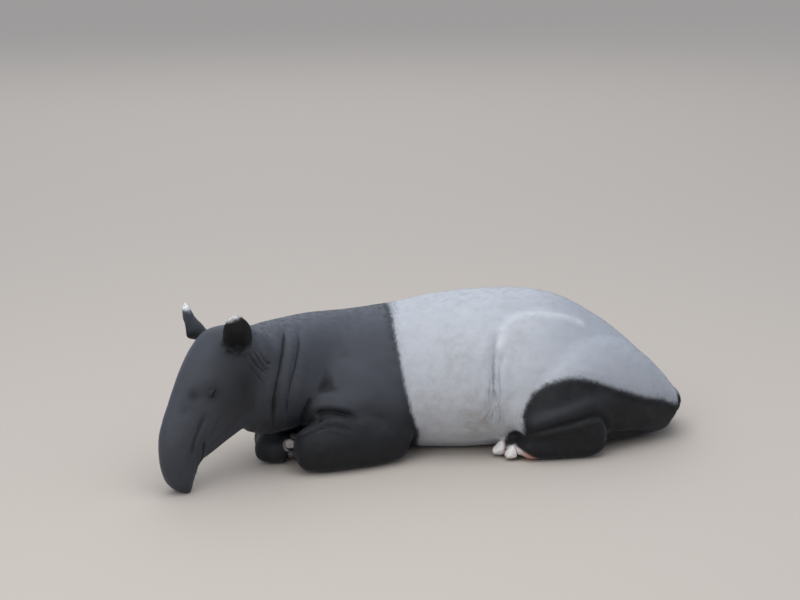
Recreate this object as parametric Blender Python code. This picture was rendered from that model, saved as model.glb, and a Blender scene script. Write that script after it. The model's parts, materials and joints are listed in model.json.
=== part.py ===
"""A Malayan tapir at rest, life size: it lies on its belly with its legs folded and its snout on the floor.

The head points to -X and the left flank faces -Y. The floor is z = 0, and the origin is on the flat of the
belly. The flesh is modelled whole, from lofted tubes that are melted into one skin and softened. It is then
parted into head, neck, trunk and legs by thin cuts. Ears, eyes, hooves and tail are solids of their own.
"""

import math

import bmesh
import bpy
from mathutils import Matrix, Vector
from mathutils.bvhtree import BVHTree

# Driving dimensions, in metres
GAP = 0.0003
SKIN_VOXEL = 0.009
SOFTENING = 12
RING_SIDES = 28
HEAD_TRIANGLES = 1800
BODY_TRIANGLES = 3400
PART_MARGIN = 0.012
PART_SIDES = 12
CUTTER_REACH = 2.5

EAR_LENGTH = 0.116
EAR_WIDTH = 0.086
EAR_THICKNESS = 0.0045
EAR_SUNK = 0.022
EAR_WAIST = 0.48
EAR_WIDEST = 0.42
EAR_BLUNTNESS = 3.2
EAR_ROLL = (158, 54)
EAR_ROLL_SPAN = (0.10, 0.72)
EAR_BACK_LEAN = 0.012
EYE_RADIUS = 0.0165
EYE_BULGE = 0.0010
LID_THICKNESS = 0.0040
EYE_OPENING = (0.030, 0.010)
MOUTH_SLIT = 0.0016
MOUTH_CORNER = (0.300, -0.052)
MOUTH_FRONT = (0.400, -0.122)
MOUTH_REACH = 0.12
NOSTRIL_RADII = (0.014, 0.0045, 0.0085)
NOSTRIL_PLACE = (0.462, 0.019, -0.022)
NOSTRIL_TURN = math.radians(-35)

# The head's own frame: its origin lies midway between the roots of the ears
HEAD_ORIGIN = Vector((-0.732, -0.3045, 0.447))
HEAD_YAW = math.radians(28)
HEAD_PITCH = math.radians(62)

# In the head's frame: where the eyes look from and to, and how the ears stand
EYE_START = (0.165, 0.200, 0.030)
EYE_LOOK = (0.12, 1.0, 0.20)
EAR_ROOT = (0.0, 0.100, -0.010)
EAR_OPENING = (0.317, 0.739, 0.597)
LEFT_EAR_LEAN = (-0.74, 0.20, 0.65)
RIGHT_EAR_LEAN = (-0.64, -0.36, 0.68)

# Planes that part the flesh: a point and the way the plane faces. The snout's is in the head's frame
NECK_CUT = ((-0.628, -0.262, 0.35), (0.80, 0.58, 0.14))
SNOUT_CUT = ((0.372, 0.0, 0.0), (1.0, 0.0, 0.1))
SHOULDER_CUT = ((-0.47, -0.10, 0.25), (0.95, 0.30, 0.0))
BARREL_CUT = ((-0.118, 0.0, 0.25), (1.0, 0.0, 0.06))
RUMP_CUT = ((0.44, 0.0, 0.25), (1.0, 0.0, 0.0))

# Colours of the hide, hooves and eyes
BLACK_HIDE = (0.030, 0.031, 0.036, 1)
PALE_HIDE = (0.42, 0.43, 0.45, 1)
HOOF_HORN = (0.36, 0.30, 0.27, 1)
EYE_BROWN = (0.010, 0.006, 0.004, 1)

# Trunk: x, y, z of the middle, half width, half height, and how much narrower the top is
TRUNK = (
    (-0.48, -0.050, 0.270, 0.130, 0.130, 0.00),
    (-0.40, -0.025, 0.255, 0.168, 0.180, 0.05),
    (-0.28, -0.005, 0.236, 0.205, 0.218, 0.08),
    (-0.12, 0.000, 0.232, 0.238, 0.235, 0.10),
    (0.02, 0.000, 0.239, 0.268, 0.251, 0.12),
    (0.19, 0.000, 0.242, 0.288, 0.257, 0.12),
    (0.33, 0.000, 0.238, 0.280, 0.254, 0.12),
    (0.46, 0.000, 0.221, 0.256, 0.237, 0.10),
    (0.59, 0.000, 0.184, 0.218, 0.194, 0.08),
    (0.71, 0.000, 0.138, 0.172, 0.136, 0.05),
    (0.79, 0.000, 0.104, 0.125, 0.092, 0.00),
    (0.83, 0.000, 0.085, 0.075, 0.060, 0.00),
)

NECK = (
    (-0.28, -0.002, 0.265, 0.175, 0.190, 0.06),
    (-0.40, -0.040, 0.275, 0.165, 0.186, 0.06),
    (-0.50, -0.108, 0.290, 0.145, 0.176, 0.05),
    (-0.58, -0.182, 0.306, 0.126, 0.166, 0.03),
    (-0.64, -0.242, 0.322, 0.108, 0.150, 0.00),
    (-0.68, -0.280, 0.335, 0.085, 0.120, 0.00),
)

# The loose skin of the throat, which hangs to the fore foot
THROAT = (
    (-0.440, -0.060, 0.188, 0.098, 0.085, 0.0),
    (-0.520, -0.140, 0.192, 0.098, 0.087, 0.0),
    (-0.585, -0.215, 0.202, 0.086, 0.084, 0.0),
    (-0.640, -0.275, 0.224, 0.064, 0.062, 0.0),
)

# Head and lower jaw, in the head's frame: towards the snout, the left cheek and the crown, then as above
HEAD = (
    (-0.080, 0.0, -0.112, 0.070, 0.065, 0.00),
    (-0.030, 0.0, -0.078, 0.096, 0.122, 0.08),
    (0.040, 0.0, -0.062, 0.106, 0.140, 0.16),
    (0.110, 0.0, -0.050, 0.103, 0.138, 0.22),
    (0.170, 0.0, -0.036, 0.092, 0.126, 0.24),
    (0.240, 0.0, -0.022, 0.074, 0.109, 0.18),
    (0.300, 0.0, -0.012, 0.062, 0.094, 0.10),
    (0.350, 0.0, -0.014, 0.056, 0.081, 0.05),
    (0.400, 0.0, -0.031, 0.053, 0.068, 0.00),
    (0.435, 0.0, -0.049, 0.050, 0.056, 0.00),
    (0.458, 0.0, -0.063, 0.044, 0.043, 0.00),
)
JAW = (
    (0.040, 0.0, -0.155, 0.068, 0.054, 0.0),
    (0.120, 0.0, -0.160, 0.074, 0.060, 0.0),
    (0.200, 0.0, -0.150, 0.066, 0.056, 0.0),
    (0.260, 0.0, -0.124, 0.052, 0.042, 0.0),
    (0.310, 0.0, -0.102, 0.042, 0.030, 0.0),
    (0.345, 0.0, -0.086, 0.034, 0.022, 0.0),
)

# Left hind leg, folded beside the belly. The right one mirrors it
HAUNCH = (
    (0.250, -0.272, 0.105, 0.045, 0.050, 0.0),
    (0.295, -0.262, 0.122, 0.068, 0.085, 0.0),
    (0.370, -0.230, 0.160, 0.098, 0.130, 0.0),
    (0.470, -0.185, 0.186, 0.125, 0.172, 0.0),
    (0.590, -0.138, 0.166, 0.130, 0.166, 0.0),
    (0.700, -0.105, 0.118, 0.112, 0.122, 0.0),
    (0.780, -0.085, 0.082, 0.082, 0.080, 0.0),
)
HIP_FOLD = (
    (0.270, -0.262, 0.115, 0.050, 0.050, 0.0),
    (0.222, -0.248, 0.210, 0.045, 0.052, 0.0),
    (0.212, -0.215, 0.310, 0.045, 0.056, 0.0),
    (0.245, -0.160, 0.385, 0.050, 0.056, 0.0),
    (0.320, -0.110, 0.398, 0.050, 0.056, 0.0),
)
SHANK = (
    (0.262, -0.282, 0.108, 0.045, 0.050, 0.0),
    (0.340, -0.298, 0.122, 0.052, 0.054, 0.0),
    (0.430, -0.300, 0.118, 0.050, 0.052, 0.0),
    (0.490, -0.292, 0.094, 0.044, 0.050, 0.0),
)
HIND_FOOT = (
    (0.512, -0.290, 0.054, 0.034, 0.044, 0.0),
    (0.475, -0.293, 0.058, 0.043, 0.060, 0.0),
    (0.400, -0.294, 0.050, 0.044, 0.052, 0.0),
    (0.320, -0.289, 0.044, 0.045, 0.046, 0.0),
    (0.255, -0.276, 0.040, 0.052, 0.041, 0.0),
)

# Left fore leg, with its foot tucked in under the chest
LEFT_UPPER_ARM = (
    (-0.38, -0.106, 0.270, 0.085, 0.112, 0.0),
    (-0.29, -0.150, 0.212, 0.090, 0.122, 0.0),
    (-0.20, -0.175, 0.145, 0.086, 0.118, 0.0),
    (-0.14, -0.182, 0.092, 0.072, 0.090, 0.0),
)
LEFT_FOREARM = (
    (-0.125, -0.192, 0.075, 0.055, 0.070, 0.0),
    (-0.200, -0.222, 0.084, 0.068, 0.086, 0.0),
    (-0.310, -0.252, 0.086, 0.070, 0.088, 0.0),
    (-0.410, -0.268, 0.079, 0.066, 0.082, 0.0),
    (-0.478, -0.264, 0.068, 0.052, 0.066, 0.0),
)
# The skin that hangs from the shoulder and meets the top of the forearm
LEFT_ARM_FOLD = (
    (-0.200, -0.165, 0.205, 0.058, 0.070, 0.0),
    (-0.290, -0.176, 0.188, 0.066, 0.072, 0.0),
    (-0.370, -0.178, 0.186, 0.063, 0.068, 0.0),
    (-0.440, -0.160, 0.190, 0.054, 0.062, 0.0),
    (-0.500, -0.135, 0.200, 0.040, 0.048, 0.0),
)
LEFT_FORE_FOOT = (
    (-0.450, -0.215, 0.040, 0.044, 0.038, 0.0),
    (-0.380, -0.175, 0.034, 0.046, 0.032, 0.0),
    (-0.310, -0.140, 0.030, 0.046, 0.029, 0.0),
    (-0.270, -0.128, 0.026, 0.044, 0.026, 0.0),
)

# Right fore leg, which crosses under the throat
RIGHT_UPPER_ARM = (
    (-0.38, 0.062, 0.265, 0.085, 0.108, 0.0),
    (-0.29, 0.125, 0.205, 0.088, 0.118, 0.0),
    (-0.20, 0.163, 0.145, 0.084, 0.115, 0.0),
    (-0.14, 0.176, 0.092, 0.072, 0.090, 0.0),
)
RIGHT_FOREARM = (
    (-0.310, 0.160, 0.120, 0.075, 0.095, 0.0),
    (-0.400, 0.070, 0.090, 0.068, 0.082, 0.0),
    (-0.490, -0.030, 0.070, 0.060, 0.072, 0.0),
    (-0.556, -0.108, 0.058, 0.054, 0.062, 0.0),
)
RIGHT_FORE_FOOT = (
    (-0.580, -0.122, 0.050, 0.044, 0.050, 0.0),
    (-0.550, -0.140, 0.048, 0.052, 0.052, 0.0),
    (-0.508, -0.142, 0.044, 0.055, 0.048, 0.0),
)

TAIL = (
    (0.780, 0.0, 0.130, 0.027, 0.027, 0.0),
    (0.832, 0.0, 0.108, 0.024, 0.024, 0.0),
    (0.851, 0.0, 0.076, 0.018, 0.018, 0.0),
    (0.848, 0.0, 0.044, 0.011, 0.011, 0.0),
)

# Toes: the knuckle's and the tip's x, y, z, then the half width of the toe
HIND_TOES = (
    ((0.275, -0.240, 0.040), (0.204, -0.187, 0.024), 0.0180),
    ((0.270, -0.264, 0.046), (0.176, -0.232, 0.027), 0.0205),
    ((0.275, -0.292, 0.040), (0.203, -0.278, 0.024), 0.0180),
)
LEFT_FORE_TOES = (
    ((-0.290, -0.158, 0.024), (-0.243, -0.171, 0.012), 0.0110),
    ((-0.285, -0.143, 0.028), (-0.219, -0.142, 0.014), 0.0130),
    ((-0.285, -0.119, 0.028), (-0.217, -0.112, 0.014), 0.0130),
    ((-0.290, -0.100, 0.026), (-0.237, -0.084, 0.013), 0.0115),
)
RIGHT_FORE_TOES = (
    ((-0.520, -0.168, 0.044), (-0.482, -0.190, 0.038), 0.0120),
    ((-0.520, -0.164, 0.060), (-0.486, -0.186, 0.070), 0.0140),
    ((-0.512, -0.142, 0.066), (-0.466, -0.156, 0.082), 0.0140),
    ((-0.512, -0.122, 0.058), (-0.458, -0.124, 0.062), 0.0130),
)

# Where the flesh of the toes ends, for the volumes that part the feet from the legs
HIND_TOE_ROOM = (
    (0.250, -0.262, 0.040, 0.070, 0.050, 0.0),
    (0.165, -0.232, 0.036, 0.076, 0.048, 0.0),
)
LEFT_TOE_ROOM = (
    (-0.236, -0.126, 0.030, 0.074, 0.044, 0.0),
)
RIGHT_TOE_ROOM = (
    (-0.436, -0.150, 0.056, 0.070, 0.066, 0.0),
)


def clear_scene():
    for thing in list(bpy.data.objects):
        bpy.data.objects.remove(thing, do_unlink=True)


def paint(thing, colour, roughness):
    material = bpy.data.materials.new(thing.name + "_surface")
    material.use_nodes = True
    shader = material.node_tree.nodes["Principled BSDF"]
    shader.inputs["Base Color"].default_value = colour
    shader.inputs["Roughness"].default_value = roughness
    thing.data.materials.clear()
    thing.data.materials.append(material)


def head_matrix():
    """Columns: towards the snout, towards the left cheek, towards the crown."""
    level = Vector((-math.cos(HEAD_YAW), -math.sin(HEAD_YAW), 0))
    forward = level * math.cos(HEAD_PITCH) - Vector((0, 0, math.sin(HEAD_PITCH)))
    crown = level * math.sin(HEAD_PITCH) + Vector((0, 0, math.cos(HEAD_PITCH)))
    left = crown.cross(forward)
    turn = Matrix((forward, left, crown)).transposed().to_4x4()
    return Matrix.Translation(HEAD_ORIGIN) @ turn


def object_from(name, mesh_maker):
    mesh = bpy.data.meshes.new(name)
    shape = bmesh.new()
    mesh_maker(shape)
    bmesh.ops.recalc_face_normals(shape, faces=shape.faces)
    shape.to_mesh(mesh)
    shape.free()
    made = bpy.data.objects.new(name, mesh)
    bpy.context.scene.collection.objects.link(made)
    return made


def spline_rows(rows, per_span):
    """Catmull-Rom through rows of numbers, with per_span steps from one row to the next."""
    out = []
    last = len(rows) - 1
    for i in range(last):
        a, b, c, d = (rows[max(0, min(last, k))] for k in (i - 1, i, i + 1, i + 2))
        for step in range(per_span):
            t = step / per_span
            out.append([
                q + 0.5 * t * (r - p + t * (2 * p - 5 * q + 4 * r - s + t * (3 * (q - r) + s - p)))
                for p, q, r, s in zip(a, b, c, d)
            ])
    out.append(list(rows[last]))
    return out


def loft(name, stations, per_span=4, up=(0, 0, 1), frame=None, upright=False, grow=0.0,
         sides=RING_SIDES):
    """A closed tube. Each station is x, y, z, half width, half height, pear.

    pear above 0 makes the ring narrow at its top. The ends are rounded off. With upright, the rings keep
    the frame's second and third axes instead of turning square to the path. grow thickens it all over.
    """
    rows = spline_rows(stations, per_span)
    frame = frame or Matrix.Identity(4)
    up = Vector(up)

    def make(shape):
        rings = []
        for i, row in enumerate(rows):
            here = Vector(row[:3])
            ahead = Vector(rows[min(i + 1, len(rows) - 1)][:3]) - Vector(rows[max(i - 1, 0)][:3])
            ahead.normalize()
            side = Vector((0, 1, 0)) if upright else up.cross(ahead).normalized()
            rise = Vector((0, 0, 1)) if upright else ahead.cross(side).normalized()
            wide, high, pear = row[3] + grow, row[4] + grow, row[5]
            ring = []
            for k in range(sides):
                turn = 2 * math.pi * k / sides
                across = wide * math.cos(turn) * (1 - pear * math.sin(turn))
                lifted = here + side * across + rise * high * math.sin(turn)
                ring.append(shape.verts.new(frame @ lifted))
            rings.append(ring)
        for near, far in zip(rings, rings[1:]):
            for k in range(sides):
                m = (k + 1) % sides
                shape.faces.new((near[k], near[m], far[m]))
                shape.faces.new((near[k], far[m], far[k]))
        for ring, row, other in ((rings[0], rows[0], rows[1]), (rings[-1], rows[-1], rows[-2])):
            outward = (Vector(row[:3]) - Vector(other[:3])).normalized()
            reach = 0.45 * min(row[3], row[4]) + grow
            pole = shape.verts.new(frame @ (Vector(row[:3]) + outward * reach))
            for k in range(sides):
                shape.faces.new((ring[k], ring[(k + 1) % sides], pole))

    return object_from(name, make)


def mirrored(stations):
    return [(x, -y, z, wide, high, pear) for x, y, z, wide, high, pear in stations]


def mirrored_toes(toes):
    return [((a[0], -a[1], a[2]), (b[0], -b[1], b[2]), wide) for a, b, wide in toes]


def toe_rows(knuckle, tip, wide):
    """The flesh of a toe, from its knuckle to inside its hoof."""
    middle = [(a + b) / 2 for a, b in zip(knuckle, tip)]
    return (
        (*knuckle, wide * 1.05, wide * 1.15, 0.0),
        (middle[0], middle[1], middle[2] + 0.004, wide, wide * 1.05, 0.0),
        (*tip, wide * 0.85, wide * 0.85, 0.0),
    )


def apply_modifiers(thing):
    graph = bpy.context.evaluated_depsgraph_get()
    mesh = bpy.data.meshes.new_from_object(thing.evaluated_get(graph))
    thing.modifiers.clear()
    thing.data = mesh
    return thing


def join(name, pieces):
    """One object that holds all the pieces' shells."""
    def make(shape):
        for piece in pieces:
            shape.from_mesh(piece.data)

    made = object_from(name, make)
    discard(pieces)
    return made


def discard(things):
    for thing in things:
        bpy.data.objects.remove(thing)


def fuse(name, pieces, voxel, soften):
    """Melts overlapping shells into one skin and softens the creases between them."""
    made = join(name, pieces)
    remesh = made.modifiers.new("melt", "REMESH")
    remesh.mode = "VOXEL"
    remesh.voxel_size = voxel
    smooth = made.modifiers.new("soften", "SMOOTH")
    smooth.factor = 0.5
    smooth.iterations = soften
    return apply_modifiers(made)


def thinned(source, name, triangles):
    """A copy with about as many triangles as asked, fewest where the skin is flattest."""
    made = bpy.data.objects.new(name, source.data.copy())
    bpy.context.scene.collection.objects.link(made)
    now = sum(len(face.vertices) - 2 for face in made.data.polygons)
    thin = made.modifiers.new("thin", "DECIMATE")
    thin.ratio = min(1.0, triangles / now)
    return apply_modifiers(made)


def largest_shell(thing):
    """Keeps only the largest closed surface of a mesh."""
    shape = bmesh.new()
    shape.from_mesh(thing.data)
    left = set(shape.faces)
    shells = []
    while left:
        shell = {left.pop()}
        front = list(shell)
        while front:
            face = front.pop()
            for edge in face.edges:
                for other in edge.link_faces:
                    if other in left:
                        left.discard(other)
                        shell.add(other)
                        front.append(other)
        shells.append(shell)
    shells.sort(key=lambda shell: sum(face.calc_area() for face in shell))
    loose = [face for shell in shells[:-1] for face in shell]
    if loose:
        bmesh.ops.delete(shape, geom=loose, context="FACES")
    bmesh.ops.remove_doubles(shape, verts=shape.verts, dist=GAP / 6)
    bmesh.ops.dissolve_degenerate(shape, edges=shape.edges, dist=GAP / 15)
    shape.to_mesh(thing.data)
    shape.free()
    return thing


def is_closed(thing):
    shape = bmesh.new()
    shape.from_mesh(thing.data)
    closed = len(shape.faces) > 3 and all(len(edge.link_faces) == 2 for edge in shape.edges)
    shape.free()
    return closed


def combine(thing, action, cutter):
    """One Boolean step, applied. The second solver is for the few cuts that the first one loses."""
    before = thing.data.copy()
    for solver in ("EXACT", "MANIFOLD"):
        step = thing.modifiers.new(action.lower(), "BOOLEAN")
        step.operation = action
        step.solver = solver
        step.object = cutter
        largest_shell(apply_modifiers(thing))
        if is_closed(thing):
            return
        if solver == "EXACT":
            thing.data = before.copy()


def carve(source, name, keep=(), drop=(), add=()):
    """A copy of source, joined with add, kept inside each of keep and cut clear of each of drop."""
    made = bpy.data.objects.new(name, source.data.copy())
    bpy.context.scene.collection.objects.link(made)
    for action, cutters in (("UNION", add), ("INTERSECT", keep), ("DIFFERENCE", drop)):
        for cutter in cutters:
            combine(made, action, cutter)
    return made


def half_space(name, point, outward):
    """A block that fills everything on the outward side of a plane."""
    outward = Vector(outward).normalized()
    turn = outward.to_track_quat("Z", "Y").to_matrix().to_4x4()
    place = Matrix.Translation(Vector(point)) @ turn

    def make(shape):
        bmesh.ops.create_cube(shape, size=2 * CUTTER_REACH)
        bmesh.ops.translate(shape, verts=shape.verts, vec=(0, 0, CUTTER_REACH))
        bmesh.ops.transform(shape, verts=shape.verts, matrix=place)

    return object_from(name, make)


def both_sides(point, outward):
    """The blocks before and beyond a plane, with a gap between them."""
    outward = Vector(outward).normalized()
    beyond = half_space("beyond", Vector(point) + outward * GAP / 2, outward)
    before = half_space("before", Vector(point) - outward * GAP / 2, -outward)
    return before, beyond


def split(source, near_name, far_name, point, outward):
    """Parts a solid by a plane. The far piece lies on the outward side."""
    before, beyond = both_sides(point, outward)
    near = carve(source, near_name, keep=(before,))
    far = carve(source, far_name, keep=(beyond,))
    discard((beyond, before, source))
    return near, far


def take_limbs(flesh, side, parts):
    """Cuts one leg's parts from the flesh, in turn, and returns what is left of it."""
    taken = []
    for part, rows in parts:
        volume = loft("volume", rows, per_span=2, grow=PART_MARGIN, sides=PART_SIDES)
        carve(flesh, f"{part}_{side}", keep=(volume,), drop=taken)
        taken.append(loft("taken", rows, per_span=2, grow=PART_MARGIN + GAP, sides=PART_SIDES))
        discard((volume,))
    rest = carve(flesh, "flesh", drop=taken)
    discard((flesh, *taken))
    return rest


def grown_copy(source, name, amount):
    """A copy whose skin stands out by amount."""
    made = bpy.data.objects.new(name, source.data.copy())
    bpy.context.scene.collection.objects.link(made)
    swell = made.modifiers.new("swell", "DISPLACE")
    swell.strength = amount
    swell.mid_level = 0
    return apply_modifiers(made)


def ellipsoid(name, place, radii, detail=2):
    """A ball stretched to three radii. place turns it and puts it in position."""
    def make(shape):
        bmesh.ops.create_icosphere(shape, subdivisions=detail, radius=1.0)
        size = Matrix.Diagonal((*radii, 1))
        bmesh.ops.transform(shape, verts=shape.verts, matrix=place @ size)

    return object_from(name, make)


def facing(point, outward, up=(0, 0, 1)):
    """A frame at point: its X looks outward and its Z is as near to up as it can be."""
    outward = Vector(outward).normalized()
    side = Vector(up).cross(outward).normalized()
    rise = outward.cross(side)
    turn = Matrix((outward, side, rise)).transposed().to_4x4()
    return Matrix.Translation(Vector(point)) @ turn


def surface_point(solid, start, ahead):
    """Where a ray from start first meets the solid."""
    graph = bpy.context.evaluated_depsgraph_get()
    hit = BVHTree.FromObject(solid, graph).ray_cast(Vector(start), Vector(ahead).normalized())
    return hit[0]


def almond(name, place, width, height, depth):
    """The opening between the lids: a lens-shaped prism along the frame's X."""
    steps = 8

    def make(shape):
        outline = []
        for k in range(2 * steps):
            t = k / steps
            across = width / 2 * math.cos(math.pi * t)
            rise = height / 2 * math.sin(math.pi * t)
            outline.append((across, rise))
        near = [shape.verts.new(place @ Vector((0, a, r))) for a, r in outline]
        far = [shape.verts.new(place @ Vector((depth, a, r))) for a, r in outline]
        shape.faces.new(near)
        shape.faces.new(far[::-1])
        for k in range(len(outline)):
            m = (k + 1) % len(outline)
            shape.faces.new((near[k], far[k], far[m], near[m]))

    return object_from(name, make)


def mouth_slit(name, place):
    """The cut between the lips: a thin wedge from the corners of the mouth to its front."""
    corner = Vector((MOUTH_CORNER[0], 0, MOUTH_CORNER[1]))
    front = Vector((MOUTH_FRONT[0], 0, MOUTH_FRONT[1]))

    def make(shape):
        ahead = (front - corner).normalized()
        rise = Vector((-ahead.z, 0, ahead.x)) * MOUTH_SLIT / 2
        rows = []
        for y in (-MOUTH_REACH, MOUTH_REACH):
            over = Vector((0, y, 0))
            wedge = (corner, front + rise, front - rise)
            rows.append([shape.verts.new(place @ (p + over)) for p in wedge])
        shape.faces.new(rows[0])
        shape.faces.new(rows[1][::-1])
        for k in range(3):
            m = (k + 1) % 3
            shape.faces.new((rows[0][k], rows[1][k], rows[1][m], rows[0][m]))

    return object_from(name, make)


def ear_shell(name, root, axis, opening, grow=0.0):
    """A cupped leaf with a wall of even thickness, rolled into a tube at its root.

    axis runs from root to tip, and opening is the way the cup looks.
    """
    along, across = 8, 8
    axis = Vector(axis).normalized()
    side = axis.cross(Vector(opening)).normalized()
    out = side.cross(axis).normalized()

    def width_at(v):
        if v < EAR_WIDEST:
            return EAR_WAIST + (1 - EAR_WAIST) * math.sin(math.pi / 2 * v / EAR_WIDEST)
        return math.sqrt(max(0.10, 1 - ((v - EAR_WIDEST) / (1.02 - EAR_WIDEST)) ** EAR_BLUNTNESS))

    def curl_at(v):
        first, last = EAR_ROLL_SPAN
        share = min(1, max(0, (v - first) / (last - first)))
        return math.radians(EAR_ROLL[0] + (EAR_ROLL[1] - EAR_ROLL[0]) * share)

    def wall(inset):
        rows = []
        for j in range(along + 1):
            v = j / along
            half = EAR_WIDTH / 2 * width_at(v)
            curl = curl_at(v)
            radius = half / math.sin(min(curl, math.pi / 2))
            height = -EAR_SUNK + (EAR_LENGTH + EAR_SUNK) * v
            lean = EAR_BACK_LEAN * v * v
            row = []
            for i in range(across + 1):
                t = (2 * i / across - 1) * curl
                r = radius - inset
                low = 0.0 if j < along else inset
                row.append(
                    Vector(root) + axis * (height - low) + side * (r * math.sin(t))
                    + out * (radius * math.cos(curl) * 0.5 - r * math.cos(t) + radius * 0.5 - lean)
                )
            rows.append(row)
        return rows

    def make(shape):
        outer = [[shape.verts.new(p) for p in row] for row in wall(0.0)]
        inner = [[shape.verts.new(p) for p in row] for row in wall(EAR_THICKNESS)]
        for j in range(along):
            for i in range(across):
                for grid, flip in ((outer, False), (inner, True)):
                    quad = [grid[j][i], grid[j][i + 1], grid[j + 1][i + 1], grid[j + 1][i]]
                    for tri in ((quad[0], quad[1], quad[2]), (quad[0], quad[2], quad[3])):
                        shape.faces.new(tri[::-1] if flip else tri)
            for i in (0, across):
                shape.faces.new((outer[j][i], outer[j + 1][i], inner[j + 1][i]))
                shape.faces.new((outer[j][i], inner[j + 1][i], inner[j][i]))
        for i in range(across):
            for j in (0, along):
                shape.faces.new((outer[j][i], outer[j][i + 1], inner[j][i + 1]))
                shape.faces.new((outer[j][i], inner[j][i + 1], inner[j][i]))

    return object_from(name, make)


def hoof_rows(knuckle, tip, wide):
    """A short capped nail on the end of a toe, a little wider than the toe."""
    a, b = Vector(knuckle), Vector(tip)
    along = (b - a).normalized()
    start = b - along * wide * 1.1
    end = b + along * wide * 0.55
    middle = b - along * wide * 0.2
    return (
        (*start, wide * 0.98, wide * 0.98, 0.0),
        (*middle, wide * 1.08, wide * 1.02, 0.0),
        (*end, wide * 0.86, wide * 0.74, 0.0),
    )


clear_scene()
turn = head_matrix()

# All the toes, by foot
toes = {
    "hind_left": HIND_TOES,
    "hind_right": mirrored_toes(HIND_TOES),
    "fore_left": LEFT_FORE_TOES,
    "fore_right": RIGHT_FORE_TOES,
}

# The flesh in one skin
pieces = [
    loft("trunk", TRUNK, upright=True),
    loft("neck_core", NECK),
    loft("throat", THROAT),
    loft("skull", HEAD, frame=turn, upright=True),
    loft("jaw", JAW, frame=turn, upright=True),
    loft("arm_fold", LEFT_ARM_FOLD),
    loft("forearm_a", LEFT_FOREARM),
    loft("forearm_b", RIGHT_FOREARM),
    loft("fore_foot_a", LEFT_FORE_FOOT),
    loft("fore_foot_b", RIGHT_FORE_FOOT),
]
for flip, upper_arm in ((list, LEFT_UPPER_ARM), (mirrored, RIGHT_UPPER_ARM)):
    pieces += [
        loft("haunch", flip(HAUNCH)),
        loft("hip_fold", flip(HIP_FOLD), up=(1, 0, 0)),
        loft("upper_arm", upper_arm),
        loft("shank_core", flip(SHANK)),
        loft("hind_foot_core", flip(HIND_FOOT)),
    ]
for foot, rows in toes.items():
    pieces += [loft("toe", toe_rows(*toe)) for toe in rows]
dense = fuse("dense", pieces, SKIN_VOXEL, SOFTENING)

# The floor shears the flesh flat where it rests
floor = half_space("floor_cutter", (0, 0, 0), (0, 0, -1))

# Hooves: each cap is whole, and the flesh is cut clear of it
hoof_cutters = []
for foot, rows in toes.items():
    for number, toe in enumerate(rows, start=1):
        cap = loft("cap", hoof_rows(*toe), per_span=1, sides=10)
        carve(cap, f"hoof_{foot}_{number}", drop=(floor,))
        discard((cap,))
        hoof_cutters.append(loft("hoof_cutter", hoof_rows(*toe), per_span=1, sides=10, grow=GAP))

# Head: cut from a finer copy of the skin than the body
before, beyond = both_sides(*NECK_CUT)
rough_head = carve(dense, "rough_head", keep=(before,))
head_stock = thinned(rough_head, "head_stock", HEAD_TRIANGLES)
body_stock = thinned(dense, "body_stock", BODY_TRIANGLES)
head_block = carve(head_stock, "head_block", keep=(before,), drop=(floor,))
flesh = carve(body_stock, "flesh", keep=(beyond,), drop=(floor, *hoof_cutters))
discard((rough_head, head_stock, body_stock, dense, beyond, before))

# Eyes, set into the head behind lids, and the line of the mouth and the nostrils
lids = []
sockets = []
for side, name in ((1, "left"), (-1, "right")):
    outward = turn.to_3x3() @ Vector((EYE_LOOK[0], side * EYE_LOOK[1], EYE_LOOK[2]))
    crown = turn.to_3x3() @ Vector((0, 0, 1))
    start = turn @ Vector((EYE_START[0], side * EYE_START[1], EYE_START[2]))
    skin = surface_point(head_block, start, -outward)
    centre = skin - outward.normalized() * (EYE_RADIUS - EYE_BULGE)
    place = facing(centre, outward, crown)
    ellipsoid("eye_" + name, place, (EYE_RADIUS,) * 3)
    lids.append(ellipsoid("lid_" + name, place, (EYE_RADIUS + LID_THICKNESS,) * 3))
    sockets.append(almond("opening_" + name, place, *EYE_OPENING, 3 * EYE_RADIUS))
    sockets.append(ellipsoid("socket_" + name, place, (EYE_RADIUS + 2 * GAP,) * 3))

mouth = mouth_slit("mouth", turn)
nostrils = []
for side in (1, -1):
    spot = Matrix.Translation((NOSTRIL_PLACE[0], side * NOSTRIL_PLACE[1], NOSTRIL_PLACE[2]))
    place = turn @ spot @ Matrix.Rotation(NOSTRIL_TURN, 4, "Y")
    nostrils.append(ellipsoid("nostril", place, NOSTRIL_RADII))
head_whole = carve(head_block, "head_whole", add=lids, drop=(*sockets, mouth, *nostrils))
discard((head_block, *lids, *sockets, mouth, *nostrils))

# Ears stand on the head, rolled at the root and open to the side
swollen = grown_copy(head_whole, "swollen", GAP)
for side, name, lean in ((1, "left", LEFT_EAR_LEAN), (-1, "right", RIGHT_EAR_LEAN)):
    root = turn @ Vector((EAR_ROOT[0], side * EAR_ROOT[1], EAR_ROOT[2]))
    axis = turn.to_3x3() @ Vector(lean)
    opening = turn.to_3x3() @ Vector((EAR_OPENING[0], side * EAR_OPENING[1], EAR_OPENING[2]))
    leaf = ear_shell("leaf", root, axis, opening)
    carve(leaf, "ear_" + name, drop=(swollen,))
    discard((leaf,))
discard((swollen,))

# The snout is parted from the head in front of the mouth
snout_start = turn @ Vector(SNOUT_CUT[0])
snout_facing = turn.to_3x3() @ Vector(SNOUT_CUT[1])
split(head_whole, "head", "snout", snout_start, snout_facing)

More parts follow.
